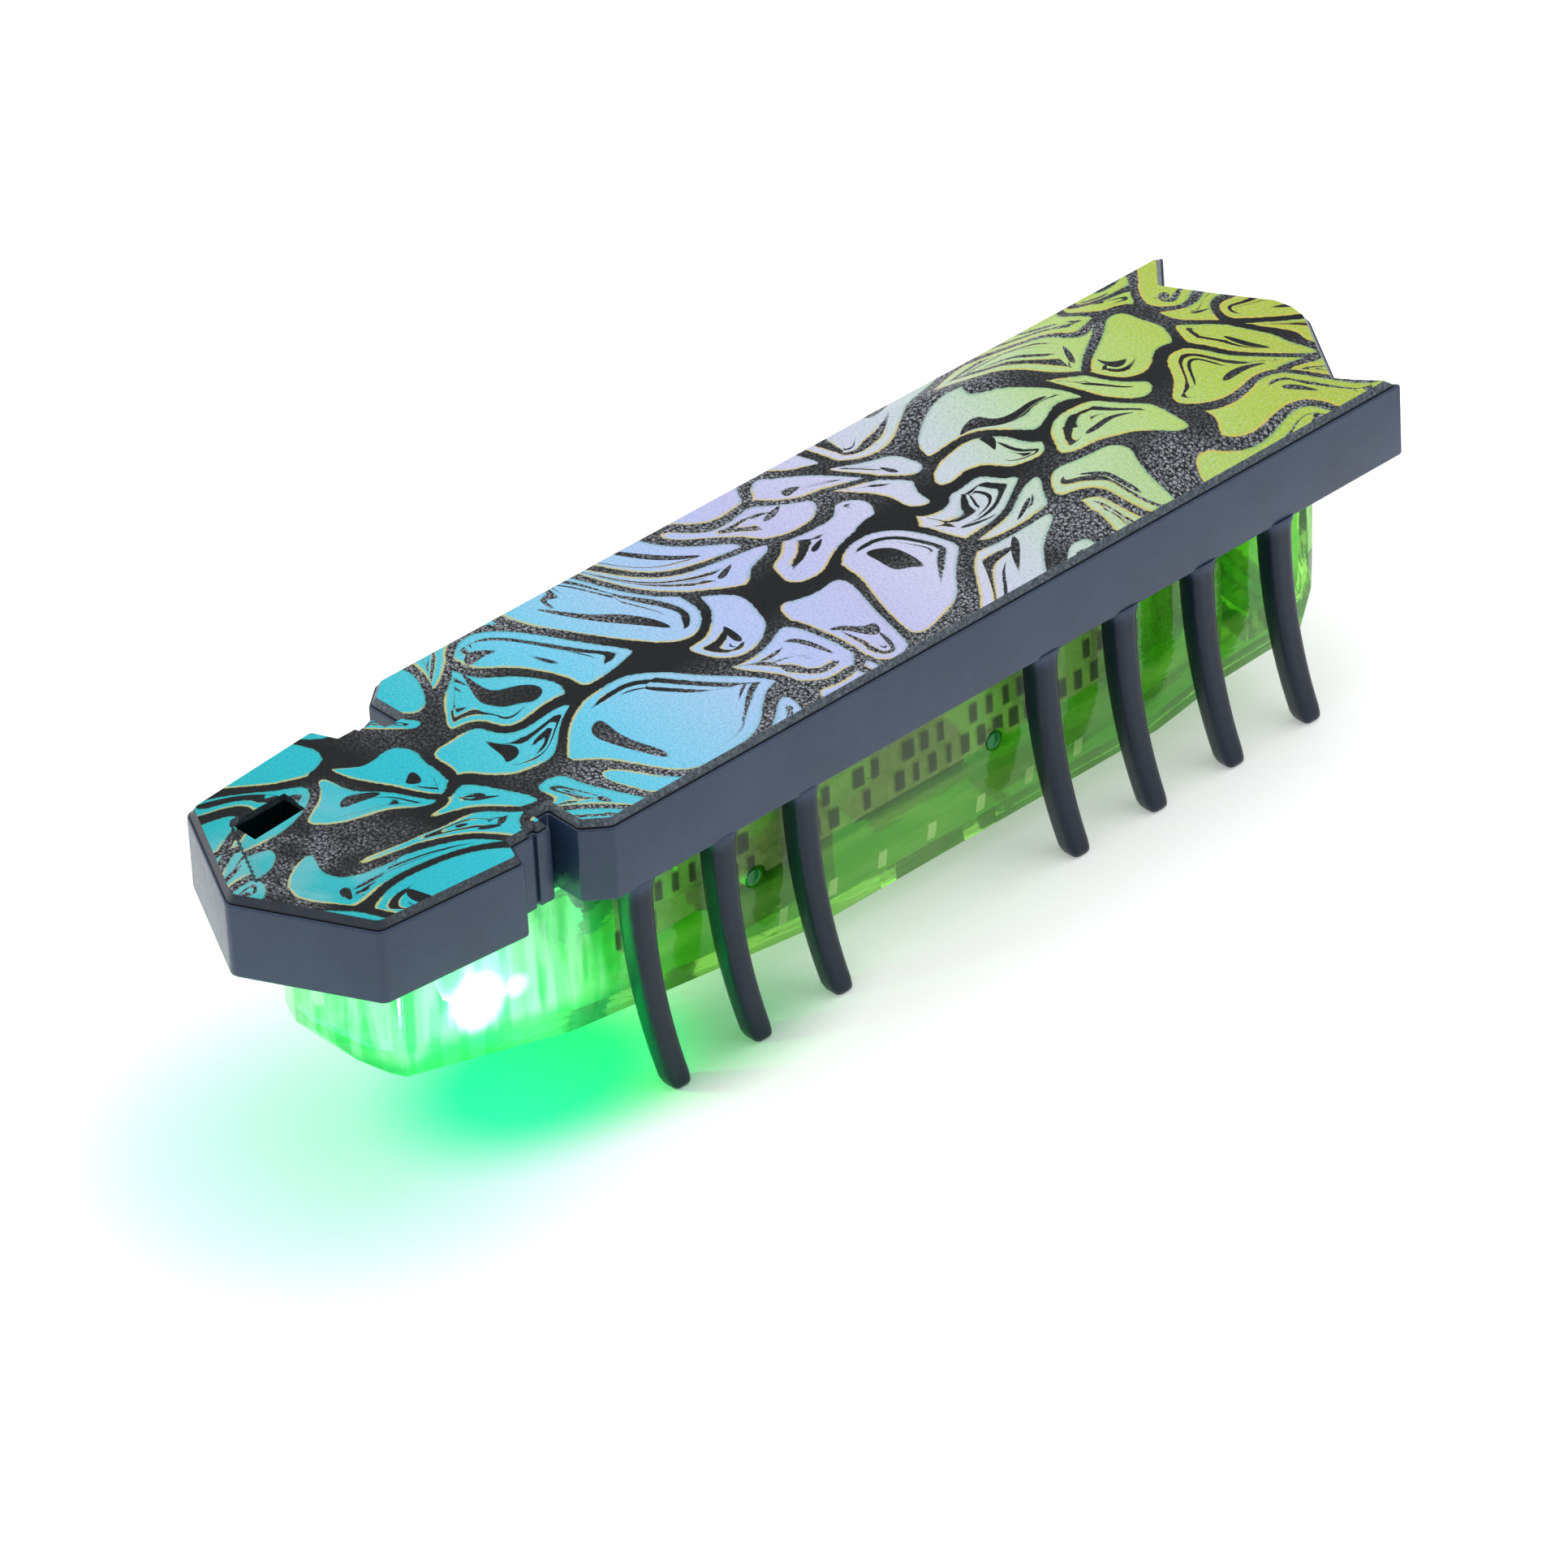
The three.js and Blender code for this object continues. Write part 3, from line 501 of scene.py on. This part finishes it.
def clear_material(name, tint, shadow, painted_glow_by=0.0, cloud=0.05):
    """clear tinted plastic: faint flow lines and a little haze; lamps reach through it; the diode's glow and
    reflections are painted in
    """
    m = Mat(name)
    x, y, z = m.xyz(m.p)
    flow = m.noise(m.vec("MULTIPLY", m.p, (1.0, 0.30, 1.4)), 0.8, 2.0, 0.5, 0.8)
    fine = m.noise(m.p, 6.0, 2.0)
    # painted glow: the plastic round the diode is paled towards mint and, in the tub, made to emit, standing in for the
    # diode's light
    d = m.vec("DISTANCE", m.vec("MULTIPLY", m.p, (1.0, 1.0, 1.0)), (2.0, -19.2, 5.6), out="Value")
    near = m.step(d, 2.0, 9.5, 1.0, 0.0)
    tone = m.mix(m.step(flow, 0.35, 0.68), tint[0], tint[1])
    tone = m.mix(m.math("MULTIPLY", near, 0.75), tone, lin(200, 255, 228))
    # height above the sloping belly; painted diode glow: the lowest part of the wall near the diode is painted a deep
    # green
    belly = m.math("ADD", m.math("MULTIPLY", m.math("SUBTRACT", -3.0, m.math("MINIMUM", m.math("MAXIMUM", y, -23.0), -3.0)), 0.15), 1.45)
    front = m.step(y, -21.0, -22.6)
    painted_glow_foot = m.math("MULTIPLY", m.step(m.math("SUBTRACT", m.math("SUBTRACT", z, belly), m.math("MULTIPLY", front, -0.55)), 1.65, 0.75), m.step(y, -10.0, -15.0))
    tone = m.mix(m.math("MULTIPLY", painted_glow_foot, 0.9), tone, lin(16, 214, 120))
    # plain pale marks moulded along the slanting band
    pitch = m.math("ABSOLUTE", m.math("SUBTRACT", m.math("FRACT", m.math("DIVIDE", m.math("ADD", y, 5.9), 2.6)), 0.5))
    marks = m.math("MULTIPLY", m.step(pitch, 0.075, 0.10, 1.0, 0.0), m.step(m.math("ABSOLUTE", m.math("SUBTRACT", z, 3.05)), 0.38, 0.46, 1.0, 0.0))
    marks = m.math("MULTIPLY", marks, m.step(m.math("ABSOLUTE", m.math("SUBTRACT", y, 3.2)), 9.0, 9.2, 1.0, 0.0))
    marks = m.math("MULTIPLY", marks, m.step(m.math("ABSOLUTE", x), 3.9, 4.0))
    tone = m.mix(m.math("MULTIPLY", marks, 0.6), tone, lin(214, 240, 170))
    haze = m.math("ADD", m.step(z, 5.5, 5.2, cloud, cloud + 0.16), m.math("MULTIPLY", marks, 0.30))
    h = m.math("ADD", m.math("MULTIPLY", flow, 1.0), m.math("MULTIPLY", fine, 0.08))
    p = m.t.nodes.new("ShaderNodeBsdfPrincipled")
    ins = {"Base Color": tone, "Roughness": m.step(fine, 0.3, 0.75, 0.03, 0.08, "LINEAR"), "Transmission Weight": m.math("SUBTRACT", 1.0, haze), "IOR": 1.45, "Specular IOR Level": 0.25,
           "Normal": m.bump(h, 0.09, 0.35)}
    for k, v in ins.items():
        m.put(p.inputs[k], v)
    if painted_glow_by:
        streak = m.noise(m.vec("MULTIPLY", m.p, (1.3, 1.3, 0.16)), 1.0, 2.0, 0.5)
        # painted glow: emission strength falls off with distance from the diode
        glow = m.math("MULTIPLY", m.math("POWER", near, 1.35), m.step(streak, 0.36, 0.66, 0.5, 1.15))
        colour = m.mix(m.step(m.math("MULTIPLY", near, m.step(streak, 0.38, 0.62)), 0.10, 0.62), lin(10, 240, 140), lin(200, 255, 238))
        # painted glow: the lowest part of the wall near the diode also emits deep green
        colour = m.mix(m.math("MULTIPLY", painted_glow_foot, 0.92), colour, lin(4, 214, 118))
        # painted reflections: two bright images of the diode painted as emission into the wall beside it
        painted_diode_reflections = m.step(m.vec("DISTANCE", m.p, (4.03, -19.42, 6.46), out="Value"), 0.95, 1.55, 1.0, 0.0)
        painted_diode_reflections = m.math("MAXIMUM", painted_diode_reflections, m.step(m.vec("DISTANCE", m.p, (4.30, -17.74, 6.48), out="Value"), 0.30, 0.70, 0.9, 0.0))
        m.put(p.inputs["Emission Color"], m.mix(painted_diode_reflections, colour, lin(240, 255, 252)))
        m.put(p.inputs["Emission Strength"], m.math("ADD", m.math("MULTIPLY", glow, painted_glow_by), m.math("MULTIPLY", painted_diode_reflections, 0.7)))
    tr = m.n("BsdfTransparent", {"Color": shadow})
    lp = m.t.nodes.new("ShaderNodeLightPath")
    mixn = m.t.nodes.new("ShaderNodeMixShader")
    m.t.links.new(lp.outputs["Is Shadow Ray"], mixn.inputs[0])
    m.t.links.new(p.outputs[0], mixn.inputs[1])
    m.t.links.new(tr.outputs[0], mixn.inputs[2])
    m.t.links.new(mixn.outputs[0], m.out.inputs["Surface"])
    return m


# the tub's plastic carries the painted diode glow, emission 0.42
CLEAR = clear_material("clear_green", (lin(128, 222, 72), lin(164, 236, 100)), (0.66, 0.95, 0.62, 1), 0.42)
CLEAR_DOOR = clear_material("clear_green_door", (lin(150, 226, 112), lin(176, 236, 132)), (0.72, 0.95, 0.70, 1))


def metal_material(name, colour, rough=0.28, grain=(3.0, 3.0, 3.0)):
    m = Mat(name)
    g = m.noise(m.vec("MULTIPLY", m.p, grain), 3.0, 4.0, 0.65)
    c = m.mix(m.step(g, 0.3, 0.7), tuple(v * 0.82 for v in colour[:3]), colour)
    m.surface(Base_Color=c, Metallic=1.0, Roughness=m.step(g, 0.3, 0.7, rough - 0.06, rough + 0.1, "LINEAR"), Normal=m.bump(g, 0.008, 0.4))
    return m


def plastic_material(name, colour, rough=0.45, speck=None):
    m = Mat(name)
    g = m.noise(m.p, 5.0, 3.0)
    c = m.mix(m.step(g, 0.3, 0.7), tuple(v * 0.85 for v in colour[:3]), colour)
    if speck:
        c = m.mix(m.step(m.noise(m.p, 14.0, 1.0), 0.62, 0.7), c, speck)
    m.surface(Base_Color=c, Roughness=m.step(g, 0.3, 0.7, rough - 0.05, rough + 0.08, "LINEAR"), Normal=m.bump(m.noise(m.p, 16.0, 2.0), 0.01, 0.3))
    return m


STEEL = metal_material("steel_plated", (0.66, 0.67, 0.69, 1))
CELL = metal_material("cell_steel", (0.74, 0.75, 0.76, 1), 0.22, (0.6, 4.0, 4.0))
WEIGHT = metal_material("sintered_weight", (0.42, 0.42, 0.44, 1), 0.42)
BRASS = metal_material("contact_brass", (0.83, 0.62, 0.30, 1), 0.25)
BLACK = plastic_material("black_moulding", lin(30, 32, 38), 0.42)
CHIP = plastic_material("chip_black", lin(24, 25, 28), 0.5, lin(60, 62, 66))
WHITE = plastic_material("white_nylon", lin(226, 224, 212), 0.5)
CERAMIC = plastic_material("ceramic_chip", lin(176, 140, 92), 0.5)
PIN = plastic_material("green_pin", lin(10, 120, 48), 0.2)
RED = plastic_material("wire_red", lin(196, 32, 24), 0.35)
BLUE = plastic_material("wire_blue", lin(32, 62, 170), 0.35)


def board_material():
    m = Mat("board_mask")
    x, y, z = m.xyz(m.p)
    tr = m.n("TexBrick", {"Vector": m.p, "Scale": 0.9, "Mortar Size": 0.035, "Color1": lin(18, 96, 46), "Color2": lin(22, 108, 52), "Mortar": lin(70, 150, 70)})
    pads = m.n("TexVoronoi", {"Vector": m.p, "Scale": 0.55, "Randomness": 0.6}, feature="F1").outputs["Distance"]
    pad = m.step(pads, 0.12, 0.15, 1.0, 0.0)
    c = m.mix(pad, tr.outputs["Color"], lin(214, 190, 120))
    m.surface(Base_Color=c, Metallic=m.math("MULTIPLY", pad, 0.9), Roughness=0.35, Normal=m.bump(m.math("ADD", tr.outputs["Fac"], m.math("MULTIPLY", pad, -1.0)), 0.02, 0.5))
    return m


BOARD = board_material()


def label_material():
    """thin clear film with rows of plain bars in place of small print; no lettering"""
    m = Mat("blank_label")
    x, y, z = m.xyz(m.p)
    g = m.noise(m.p, 2.2, 4.0, 0.6)
    fine = m.noise(m.p, 12.0, 2.0)
    c = m.mix(m.step(g, 0.3, 0.7), lin(132, 170, 84), lin(160, 192, 108))
    c = m.mix(m.step(fine, 0.5, 0.75, 0.0, 0.25), c, lin(96, 130, 66))
    row = m.math("DIVIDE", m.math("SUBTRACT", z, 5.98), 1.21)
    band = m.step(m.math("ABSOLUTE", m.math("SUBTRACT", m.math("FRACT", row), 0.5)), 0.34, 0.38, 1.0, 0.0)
    which = m.math("FLOOR", row)
    along = m.math("DIVIDE", m.math("ADD", y, m.math("MULTIPLY", which, 0.37)), 0.86)
    spot = m.n("CombineXYZ", {"X": m.math("FLOOR", along), "Y": which, "Z": 0.0}).outputs[0]
    dice = m.xyz(m.n("TexWhiteNoise", {"Vector": spot}, noise_dimensions="3D").outputs["Color"])
    wide = m.step(dice[0], 0.0, 1.0, 0.12, 0.36, "LINEAR")
    dash = m.step(m.math("SUBTRACT", m.math("ABSOLUTE", m.math("SUBTRACT", m.math("FRACT", along), 0.5)), wide), 0.0, 0.04, 1.0, 0.0)
    gapped = m.step(dice[1], 0.18, 0.20)
    bars = m.math("MULTIPLY", m.math("MULTIPLY", band, dash), gapped)
    c = m.mix(m.math("MULTIPLY", bars, 0.92), c, lin(30, 52, 34))
    alpha = m.math("ADD", m.math("MULTIPLY", bars, 0.45), 0.26)
    m.surface(Base_Color=c, Roughness=0.32, Normal=m.bump(g, 0.015, 0.4), Alpha=alpha, Specular_IOR_Level=0.5)
    return m


LABEL = label_material()


def led_material():
    m = Mat("led_lens")
    x, y, z = m.xyz(m.p)
    g = m.noise(m.p, 1.5, 2.0)
    hot = m.step(z, 6.6, 5.1)
    c = m.mix(hot, lin(120, 255, 190), lin(236, 255, 250))
    s = m.math("MULTIPLY", m.math("ADD", m.math("MULTIPLY", hot, 2.4), 0.55), m.step(g, 0.3, 0.7, 0.8, 1.2, "LINEAR"))
    m.surface(Base_Color=lin(225, 255, 240), Roughness=0.1, Emission_Color=c, Emission_Strength=s)
    return m


LED = led_material()

# ---------------------------------------------------------- CAD nodes' looks
LOOKS = {"motor_can": (STEEL, 0.12), "motor_end_cap": (WHITE, 0.1), "motor_shaft": (STEEL, 0.05), "eccentric_weight": (WEIGHT, 0.1),
         "motor_cradle": (RUBBER, 0.1), "circuit_board": (BOARD, 0.04), "control_chip": (CHIP, 0.06), "chip_resistor": (CHIP, 0.05),
         "chip_capacitor": (CERAMIC, 0.05), "led_body": (LED, 0.0), "led_lead_1": (STEEL, 0.03), "led_lead_2": (STEEL, 0.03),
         "motor_wire_red": (RED, 0.0), "motor_wire_blue": (BLUE, 0.0), "switch_body": (BLACK, 0.08), "switch_slider": (BLACK, 0.1),
         "switch_terminals": (BRASS, 0.03), "button_cell": (CELL, 0.0), "battery_contact_positive": (STEEL, 0.03),
         "battery_contact_negative": (BRASS, 0.03), "battery_door": (CLEAR_DOOR, 0.08), "door_screw": (STEEL, 0.08),
         "side_label_right": (LABEL, 0.0), "side_label_left": (LABEL, 0.0), "housing_lid": (CLEAR_DOOR, 0.08)}
for i in range(1, 5):
    LOOKS[f"latch_pin_{i}"] = (PIN, 0.08)
for node, (mat, w) in LOOKS.items():
    o = NODES[node]
    assign(o, mat)
    weld = o.modifiers.new("weld", "WELD")
    weld.merge_threshold = 1e-6
    if w:
        bevel(o, w, 2, 30)
    for p in o.data.polygons:
        p.use_smooth = True
    sm = o.modifiers.new("split", "EDGE_SPLIT")
    sm.split_angle = math.radians(32)

# ---------------------------------------------------------------- rubber deck
rings = [deck_ring(0.13, 10.0), deck_ring(0.055, 10.02), deck_ring(0.015, 10.06), deck_ring(0.0, 10.14),
         deck_ring(0.0, 13.18), deck_ring(0.008, 13.24), deck_ring(0.03, 13.28), deck_ring(0.06, 13.29),
         deck_ring(0.10, 13.28), deck_ring(0.12, 13.26), deck_ring(0.125, 13.25)]
deck = loft("deck_moulding", rings)
boolean(deck, box("c", -4.05, 4.05, -21.5, 22.8, 9.0, 12.65), "DIFFERENCE")
boolean(deck, box("c", -3.0, 3.0, 10.0, 18.8, 12.0, 14.0), "DIFFERENCE")
boolean(deck, box("c", -3.5, -2.3, -24.4, -21.9, 9.0, 14.0), "DIFFERENCE")
smooth(deck, 40)
assign(deck, RUBBER)
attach(deck, "shell")
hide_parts("rubber_deck")

# ------------------------------------------------------------- printed cover
inset = 0.29
ring_top = fillet(offset(DECK, inset), DECK_R, 5)
ring_top = [p for i, p in enumerate(ring_top) if np.linalg.norm(np.array(p) - np.array(ring_top[i - 1])) > 1e-5]


def inside(px, py, poly):
    c = False
    j = len(poly) - 1
    for i in range(len(poly)):
        xi, yi = poly[i]
        xj, yj = poly[j]
        if (yi > py) != (yj > py) and px < (xj - xi) * (py - yi) / (yj - yi) + xi:
            c = not c
        j = i
    return c


dense = []
n = len(ring_top)
for i in range(n):
    a, b = np.array(ring_top[i]), np.array(ring_top[(i + 1) % n])
    k = max(1, int(np.linalg.norm(b - a) / 0.5))
    for q in range(k):
        dense.append(tuple(a + (b - a) * q / k))
inner_poly = offset(DECK, inset + 0.10)
grid = []
y = -27.4
while y < 27.8:
    s = 0.14 if y < -19.2 else (0.26 if 9.0 < y < 16.5 else 0.42)
    x = 0.0
    while x < 6.6:
        for sx in ((x, -x) if x > 0 else (x,)):
            if inside(sx, y, inner_poly):
                grid.append((sx, y))
        x += s
    y += s
pts = [Vector(p) for p in dense + grid]
edges = [(i, (i + 1) % len(dense)) for i in range(len(dense))]
res = delaunay_2d_cdt(pts, edges, [], 1, 1e-5)
tv, tf = res[0], res[2]
top_verts = [(v.x, v.y, back_z(v.x, v.y)) for v in tv]
verts = list(top_verts)
faces = [tuple(f) for f in tf]
# rim below the print, then the glue face
base = len(verts)
levels = [(0.265, 13.60), (0.215, 13.52), (0.165, 13.43), (0.125, 13.36), (0.10, 13.32), (0.13, 13.262)]
rows = [[(p[0], p[1], back_z(p[0], p[1])) for p in dense]]


def moved(p, k):
    """the boundary point, returned unchanged"""
    return p


outer_rings = []
for ins, z in levels:
    rr = fillet(offset(DECK, ins), DECK_R, 5)
    full = fillet(offset(DECK, inset), DECK_R, 5)
    ring = []
    keep = [i for i, p in enumerate(full) if np.linalg.norm(np.array(p) - np.array(full[i - 1])) > 1e-5]
    rr = [rr[i] for i in keep]
    for i in range(n):
        a, b = np.array(rr[i]), np.array(rr[(i + 1) % n])
        a0, b0 = np.array(ring_top[i]), np.array(ring_top[(i + 1) % n])
        k = max(1, int(np.linalg.norm(b0 - a0) / 0.5))
        for q in range(k):
            v = a + (b - a) * q / k
            ring.append((v[0], v[1], z))
    outer_rings.append(ring)
allrings = rows + outer_rings
nd = len(dense)
for ring in allrings:
    verts += ring
for k in range(len(allrings) - 1):
    for i in range(nd):
        j = (i + 1) % nd
        faces.append((base + k * nd + i, base + k * nd + j, base + (k + 1) * nd + j, base + (k + 1) * nd + i))
faces.append(tuple(range(base + (len(allrings) - 1) * nd, base + len(allrings) * nd)))
cover = add_mesh("cover_film", verts, faces)
bm = bmesh.new()
bm.from_mesh(cover.data)
bmesh.ops.remove_doubles(bm, verts=bm.verts, dist=2e-6)
bmesh.ops.recalc_face_normals(bm, faces=bm.faces)
bm.to_mesh(cover.data)
bm.free()
boolean(cover, box("c", -3.5, -2.3, -24.4, -21.9, 9.0, 15.0), "DIFFERENCE")
assign(cover, PRINT, RIM)
ys = offset(DECK, inset + 0.015)
for p in cover.data.polygons:
    c = p.center / MM
    p.material_index = 0 if (p.normal.z > 0.80 and c.z > 13.3 and inside(c.x, c.y, ys)) else 1
smooth(cover, 24)
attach(cover, "shell")
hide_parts("printed_top_cover")

# ------------------------------------------------------------- clear housing
HOUSE_HALF, HOUSE_TOP, BREAK_Z, BELLY_Z = 5.0, 9.95, 5.35, 1.45


def scallop(p, q, pitch, deep):
    p, q = np.array(p, float), np.array(q, float)
    length = np.linalg.norm(q - p)
    n = max(1, round(length / pitch))
    d = (q - p) / length
    out = []
    nrm = np.array((-d[1], d[0]))
    for i in range(n * 8):
        f = i / (n * 8)
        out.append(tuple(p + (q - p) * f + nrm * deep * (0.5 - 0.5 * math.cos(2 * math.pi * f * n))))
    return out


def shell_body(name, t, top, bev):
    b = 0.75 if t > 0 else 0.0
    sec = [(HOUSE_HALF - t, 10.5), (-(HOUSE_HALF - t), 10.5), (-(HOUSE_HALF - t), BREAK_Z), (-(4.28 - t), 0.9), (4.28 - t, 0.9), (HOUSE_HALF - t, BREAK_Z)]
    prof = [(-24.4 + t, 10.5), (-24.3 + t, 7.5), (-24.1 + t, 5.6 + b * 0.4), (-23.6 + t, 4.8 + b), (-23 + t * 0.4, 4.45 + b),
            (-3, BELLY_Z + b), (15.5, BELLY_Z + b), (19, 2.2 + b), (23.2 - t * 0.6, 2.4 + b), (23.75 - t, 5.2), (24.15 - t, 10.5)]
    half = [(0, -24.05 + t * 1.03), (1.69 - t * 0.36, -23.65 + t * 0.94), (3.5 - t * 0.91, -22.7 + t * 0.65),
            (HOUSE_HALF - t, -13.5 + t * 0.07), (HOUSE_HALF - t, 23.3 - t * 0.5), (4.5 - t * 0.6, 24.3 - t), (0, 24.3 - t)]
    if t > 0:
        # soft flutes on the inner wall round the diode
        flutes = scallop(half[0], half[1], 1.1, 0.10) + scallop(half[1], half[2], 1.1, 0.10) + scallop(half[2], half[3], 1.6, 0.05)
        half = flutes + half[3:]
    plan = half + [(-x, y) for x, y in half[::-1] if x > 1e-6]
    o = prism(name, sec, "y", -30, 30)
    boolean(o, prism("p", prof, "x", -8, 8), "INTERSECT")
    boolean(o, prism("q", plan, "z", -1, top), "INTERSECT")
    dissolve(o, 0.5)
    recalc(o)
    if bev:
        bevel(o, bev, 3, 15)
        apply_mods(o)
    return o


tub = shell_body("housing_shell", 0.0, HOUSE_TOP, 0.22)
boolean(tub, box("r", -3.9, 3.9, -21.3, 22.6, 9.45, 11.7), "UNION")
boolean(tub, shell_body("i", 0.7, HOUSE_TOP - 0.7, 0.0), "DIFFERENCE")
boolean(tub, box("r", -3.3, 3.3, -20.7, 22.0, 8.5, 12.5), "DIFFERENCE")
for s in (-1, 1):
    for y0 in (10.2, 18.6):
        a, b = sorted((s * 3.28, s * 4.6))
        boolean(tub, box("r", a, b, y0 - 0.3, y0 + 0.3, 4.2, 9.5), "UNION")
boolean(tub, box("r", -4.2, 4.2, 20.4, 23.1, 3.3, 4.7), "UNION")
boolean(tub, rod("r", 0.8, "z", 3.0, 5.0, 0, 21.4), "DIFFERENCE")
boolean(tub, box("r", -3.05, 3.05, 7.3, 22.6, 0.5, 3.29), "DIFFERENCE")
boolean(tub, rod("r", 0.26, "x", -3.6, 3.6, 7.75, 1.825, 16), "DIFFERENCE")
boolean(tub, box("r", -0.95, 0.95, 2.9, 6.5, 0.5, 2.6), "DIFFERENCE")
for s in (-1, 1):
    for y0 in (-6.3, 6.3):
        a, b = sorted((s * 4.1, s * 5.3))
        boolean(tub, rod("r", 0.45, "x", a, b, y0, 5.9, 16), "DIFFERENCE")
recalc(tub)
smooth(tub, 22)
assign(tub, CLEAR)
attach(tub, "shell")
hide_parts("housing_tub")

# --------------------------------------------------------------------- legs
LEG_SLOTS = (0, 1, 2, 5, 6, 7, 8)


def leg_mesh(name, side, y0):
    rings = []
    ncirc = 28
    zs = [10.12, 10.02, 9.95, 9.85, 9.7, 9.5, 9.2, 8.8, 8.3, 7.7, 7.1, 6.5, 5.9, 5.3, 4.7, 4.1, 3.5, 2.9, 2.3, 1.8, 1.3, 0.9, 0.55, 0.32, 0.17, 0.08, 0.03, 0.0]
    for z in zs:
        t = min(1.0, max(0.0, (9.45 - z) / 9.45))
        dy, dx = 1.25 * t ** 2.1, 0.3 * t ** 1.5
        hx, hy = 0.565 - 0.08 * t, 0.585 - 0.11 * t
        flare = 0.16 * math.exp(-max(0.0, 9.98 - z) / 0.16)
        hx, hy = min(hx + flare * 0.3, 0.60), hy + flare
        tip = 1.0
        if z < 0.3:
            tip = math.sqrt(max(0.0, 1 - ((0.3 - z) / 0.42) ** 2))
        ring = []
        # the section turns with the curve
        slope = 1.25 * 2.1 * t ** 1.1 / 9.45
        for i in range(ncirc):
            a = 2 * math.pi * i / ncirc
            ca, sa = math.cos(a), math.sin(a)
            k = (abs(ca) ** 4.2 + abs(sa) ** 4.2) ** (-1 / 4.2)
            ox, oy = ca * k * hx * tip, sa * k * hy * tip
            zz = z + oy * slope * (1.0 if 0.5 < z < 9.0 else 0.0)
            ring.append((side * (6.2 + dx) + ox, y0 + dy + oy, max(0.0, zz)))
        rings.append(ring)
    o = loft(name, rings)
    smooth(o, 45)
    assign(o, RUBBER_LEG)
    return o


for tag, side in (("right", 1), ("left", -1)):
    for i, k in enumerate(LEG_SLOTS, 1):
        node = f"leg_{tag}_{i}"
        y0 = -13.24 + 4.2 * k
        o = leg_mesh(f"rubber_{node}", side, y0)
        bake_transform(o)
        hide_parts(node)

# -------------------------------------------------------------- floor, light
fm = Mat("floor")
g = fm.noise(fm.p, 0.02, 3.0)
fx, fy, fz = fm.xyz(fm.p)
# painted light: the diode's light on the pale floor is painted into the floor colour as a green pool
ex = fm.math("SUBTRACT", fx, 2.3)
ey = fm.math("DIVIDE", fm.math("ADD", fy, 15.4), 1.35)
painted_glow_core = fm.step(fm.math("SQRT", fm.math("ADD", fm.math("MULTIPLY", ex, ex), fm.math("MULTIPLY", ey, ey))), 2.2, 6.2, 0.97, 0.0)
painted_glow_halo = fm.step(fm.vec("DISTANCE", fm.p, (0.0, -24.5, 0.0), out="Value"), 3.0, 15.5, 1.0, 0.0)
floor_and_painted_glow = fm.mix(fm.step(g, 0.3, 0.7), lin(250, 250, 251), lin(252, 252, 252))
floor_and_painted_glow = fm.mix(painted_glow_halo, floor_and_painted_glow, (0.60, 1.0, 0.80, 1))
# painted shade: a darker green patch painted on the floor beside the first legs, standing in for green-tinted shadow
tx = fm.math("SUBTRACT", fx, 5.2)
ty = fm.math("DIVIDE", fm.math("ADD", fy, 9.5), 2.2)
painted_green_shade = fm.step(fm.math("SQRT", fm.math("ADD", fm.math("MULTIPLY", tx, tx), fm.math("MULTIPLY", ty, ty))), 0.8, 4.2, 0.85, 0.0)
floor_and_painted_glow = fm.mix(painted_green_shade, floor_and_painted_glow, (0.24, 0.52, 0.32, 1))
floor_and_painted_glow = fm.mix(painted_glow_core, floor_and_painted_glow, (0.036, 0.95, 0.42, 1))
# the floor also emits its own colour evenly, so the painted green pool shines as well
fm.surface(Base_Color=floor_and_painted_glow, Roughness=0.75, Specular_IOR_Level=0.0, Emission_Color=floor_and_painted_glow, Emission_Strength=0.30)
floor = add_mesh("floor", [(-3000, -3000, 0), (3000, -3000, 0), (3000, 3000, 0), (-3000, 3000, 0)], [(0, 1, 2, 3)])
assign(floor, fm)


def area(name, loc, target, size, power, colour=(1, 1, 1)):
    d = bpy.data.lights.new(name, "AREA")
    d.shape, d.size, d.energy, d.color = "SQUARE", size, power, colour
    o = bpy.data.objects.new(name, d)
    o.location = loc
    o.rotation_mode = "QUATERNION"
    o.rotation_quaternion = (Vector(target) - Vector(loc)).to_track_quat("-Z", "Y")
    bpy.context.scene.collection.objects.link(o)
    return o


area("top_softbox", (-0.05, 0.06, 0.50), (0, 0, 0), 0.60, 1.5)
area("nose_softbox", (-0.38, -0.36, 0.20), (0, 0, 0.01), 0.30, 0.5)
area("near_fill", (0.35, 0.25, 0.25), (0, 0, 0.005), 0.35, 0.12)
w = bpy.data.worlds.new("studio")
w.use_nodes = True
w.node_tree.nodes["Background"].inputs[0].default_value = (1, 1, 1, 1)
w.node_tree.nodes["Background"].inputs[1].default_value = 0.62
bpy.context.scene.world = w


def lamp(name, loc, power, radius, colour):
    d = bpy.data.lights.new(name, "POINT")
    d.energy, d.shadow_soft_size, d.color = power, radius, colour
    o = bpy.data.objects.new(name, d)
    o.location = loc
    bpy.context.scene.collection.objects.link(o)
    return o


lamp("diode_light", (0.0017, -0.0179, 0.0046), 0.0020, 0.0001, (0.04, 1.0, 0.28))

bpy.context.scene.view_settings.view_transform = "Standard"
bpy.context.scene.cycles.use_denoising = True
bpy.context.scene.cycles.max_bounces = 16
bpy.context.scene.cycles.transmission_bounces = 14
bpy.context.scene.cycles.transparent_max_bounces = 16
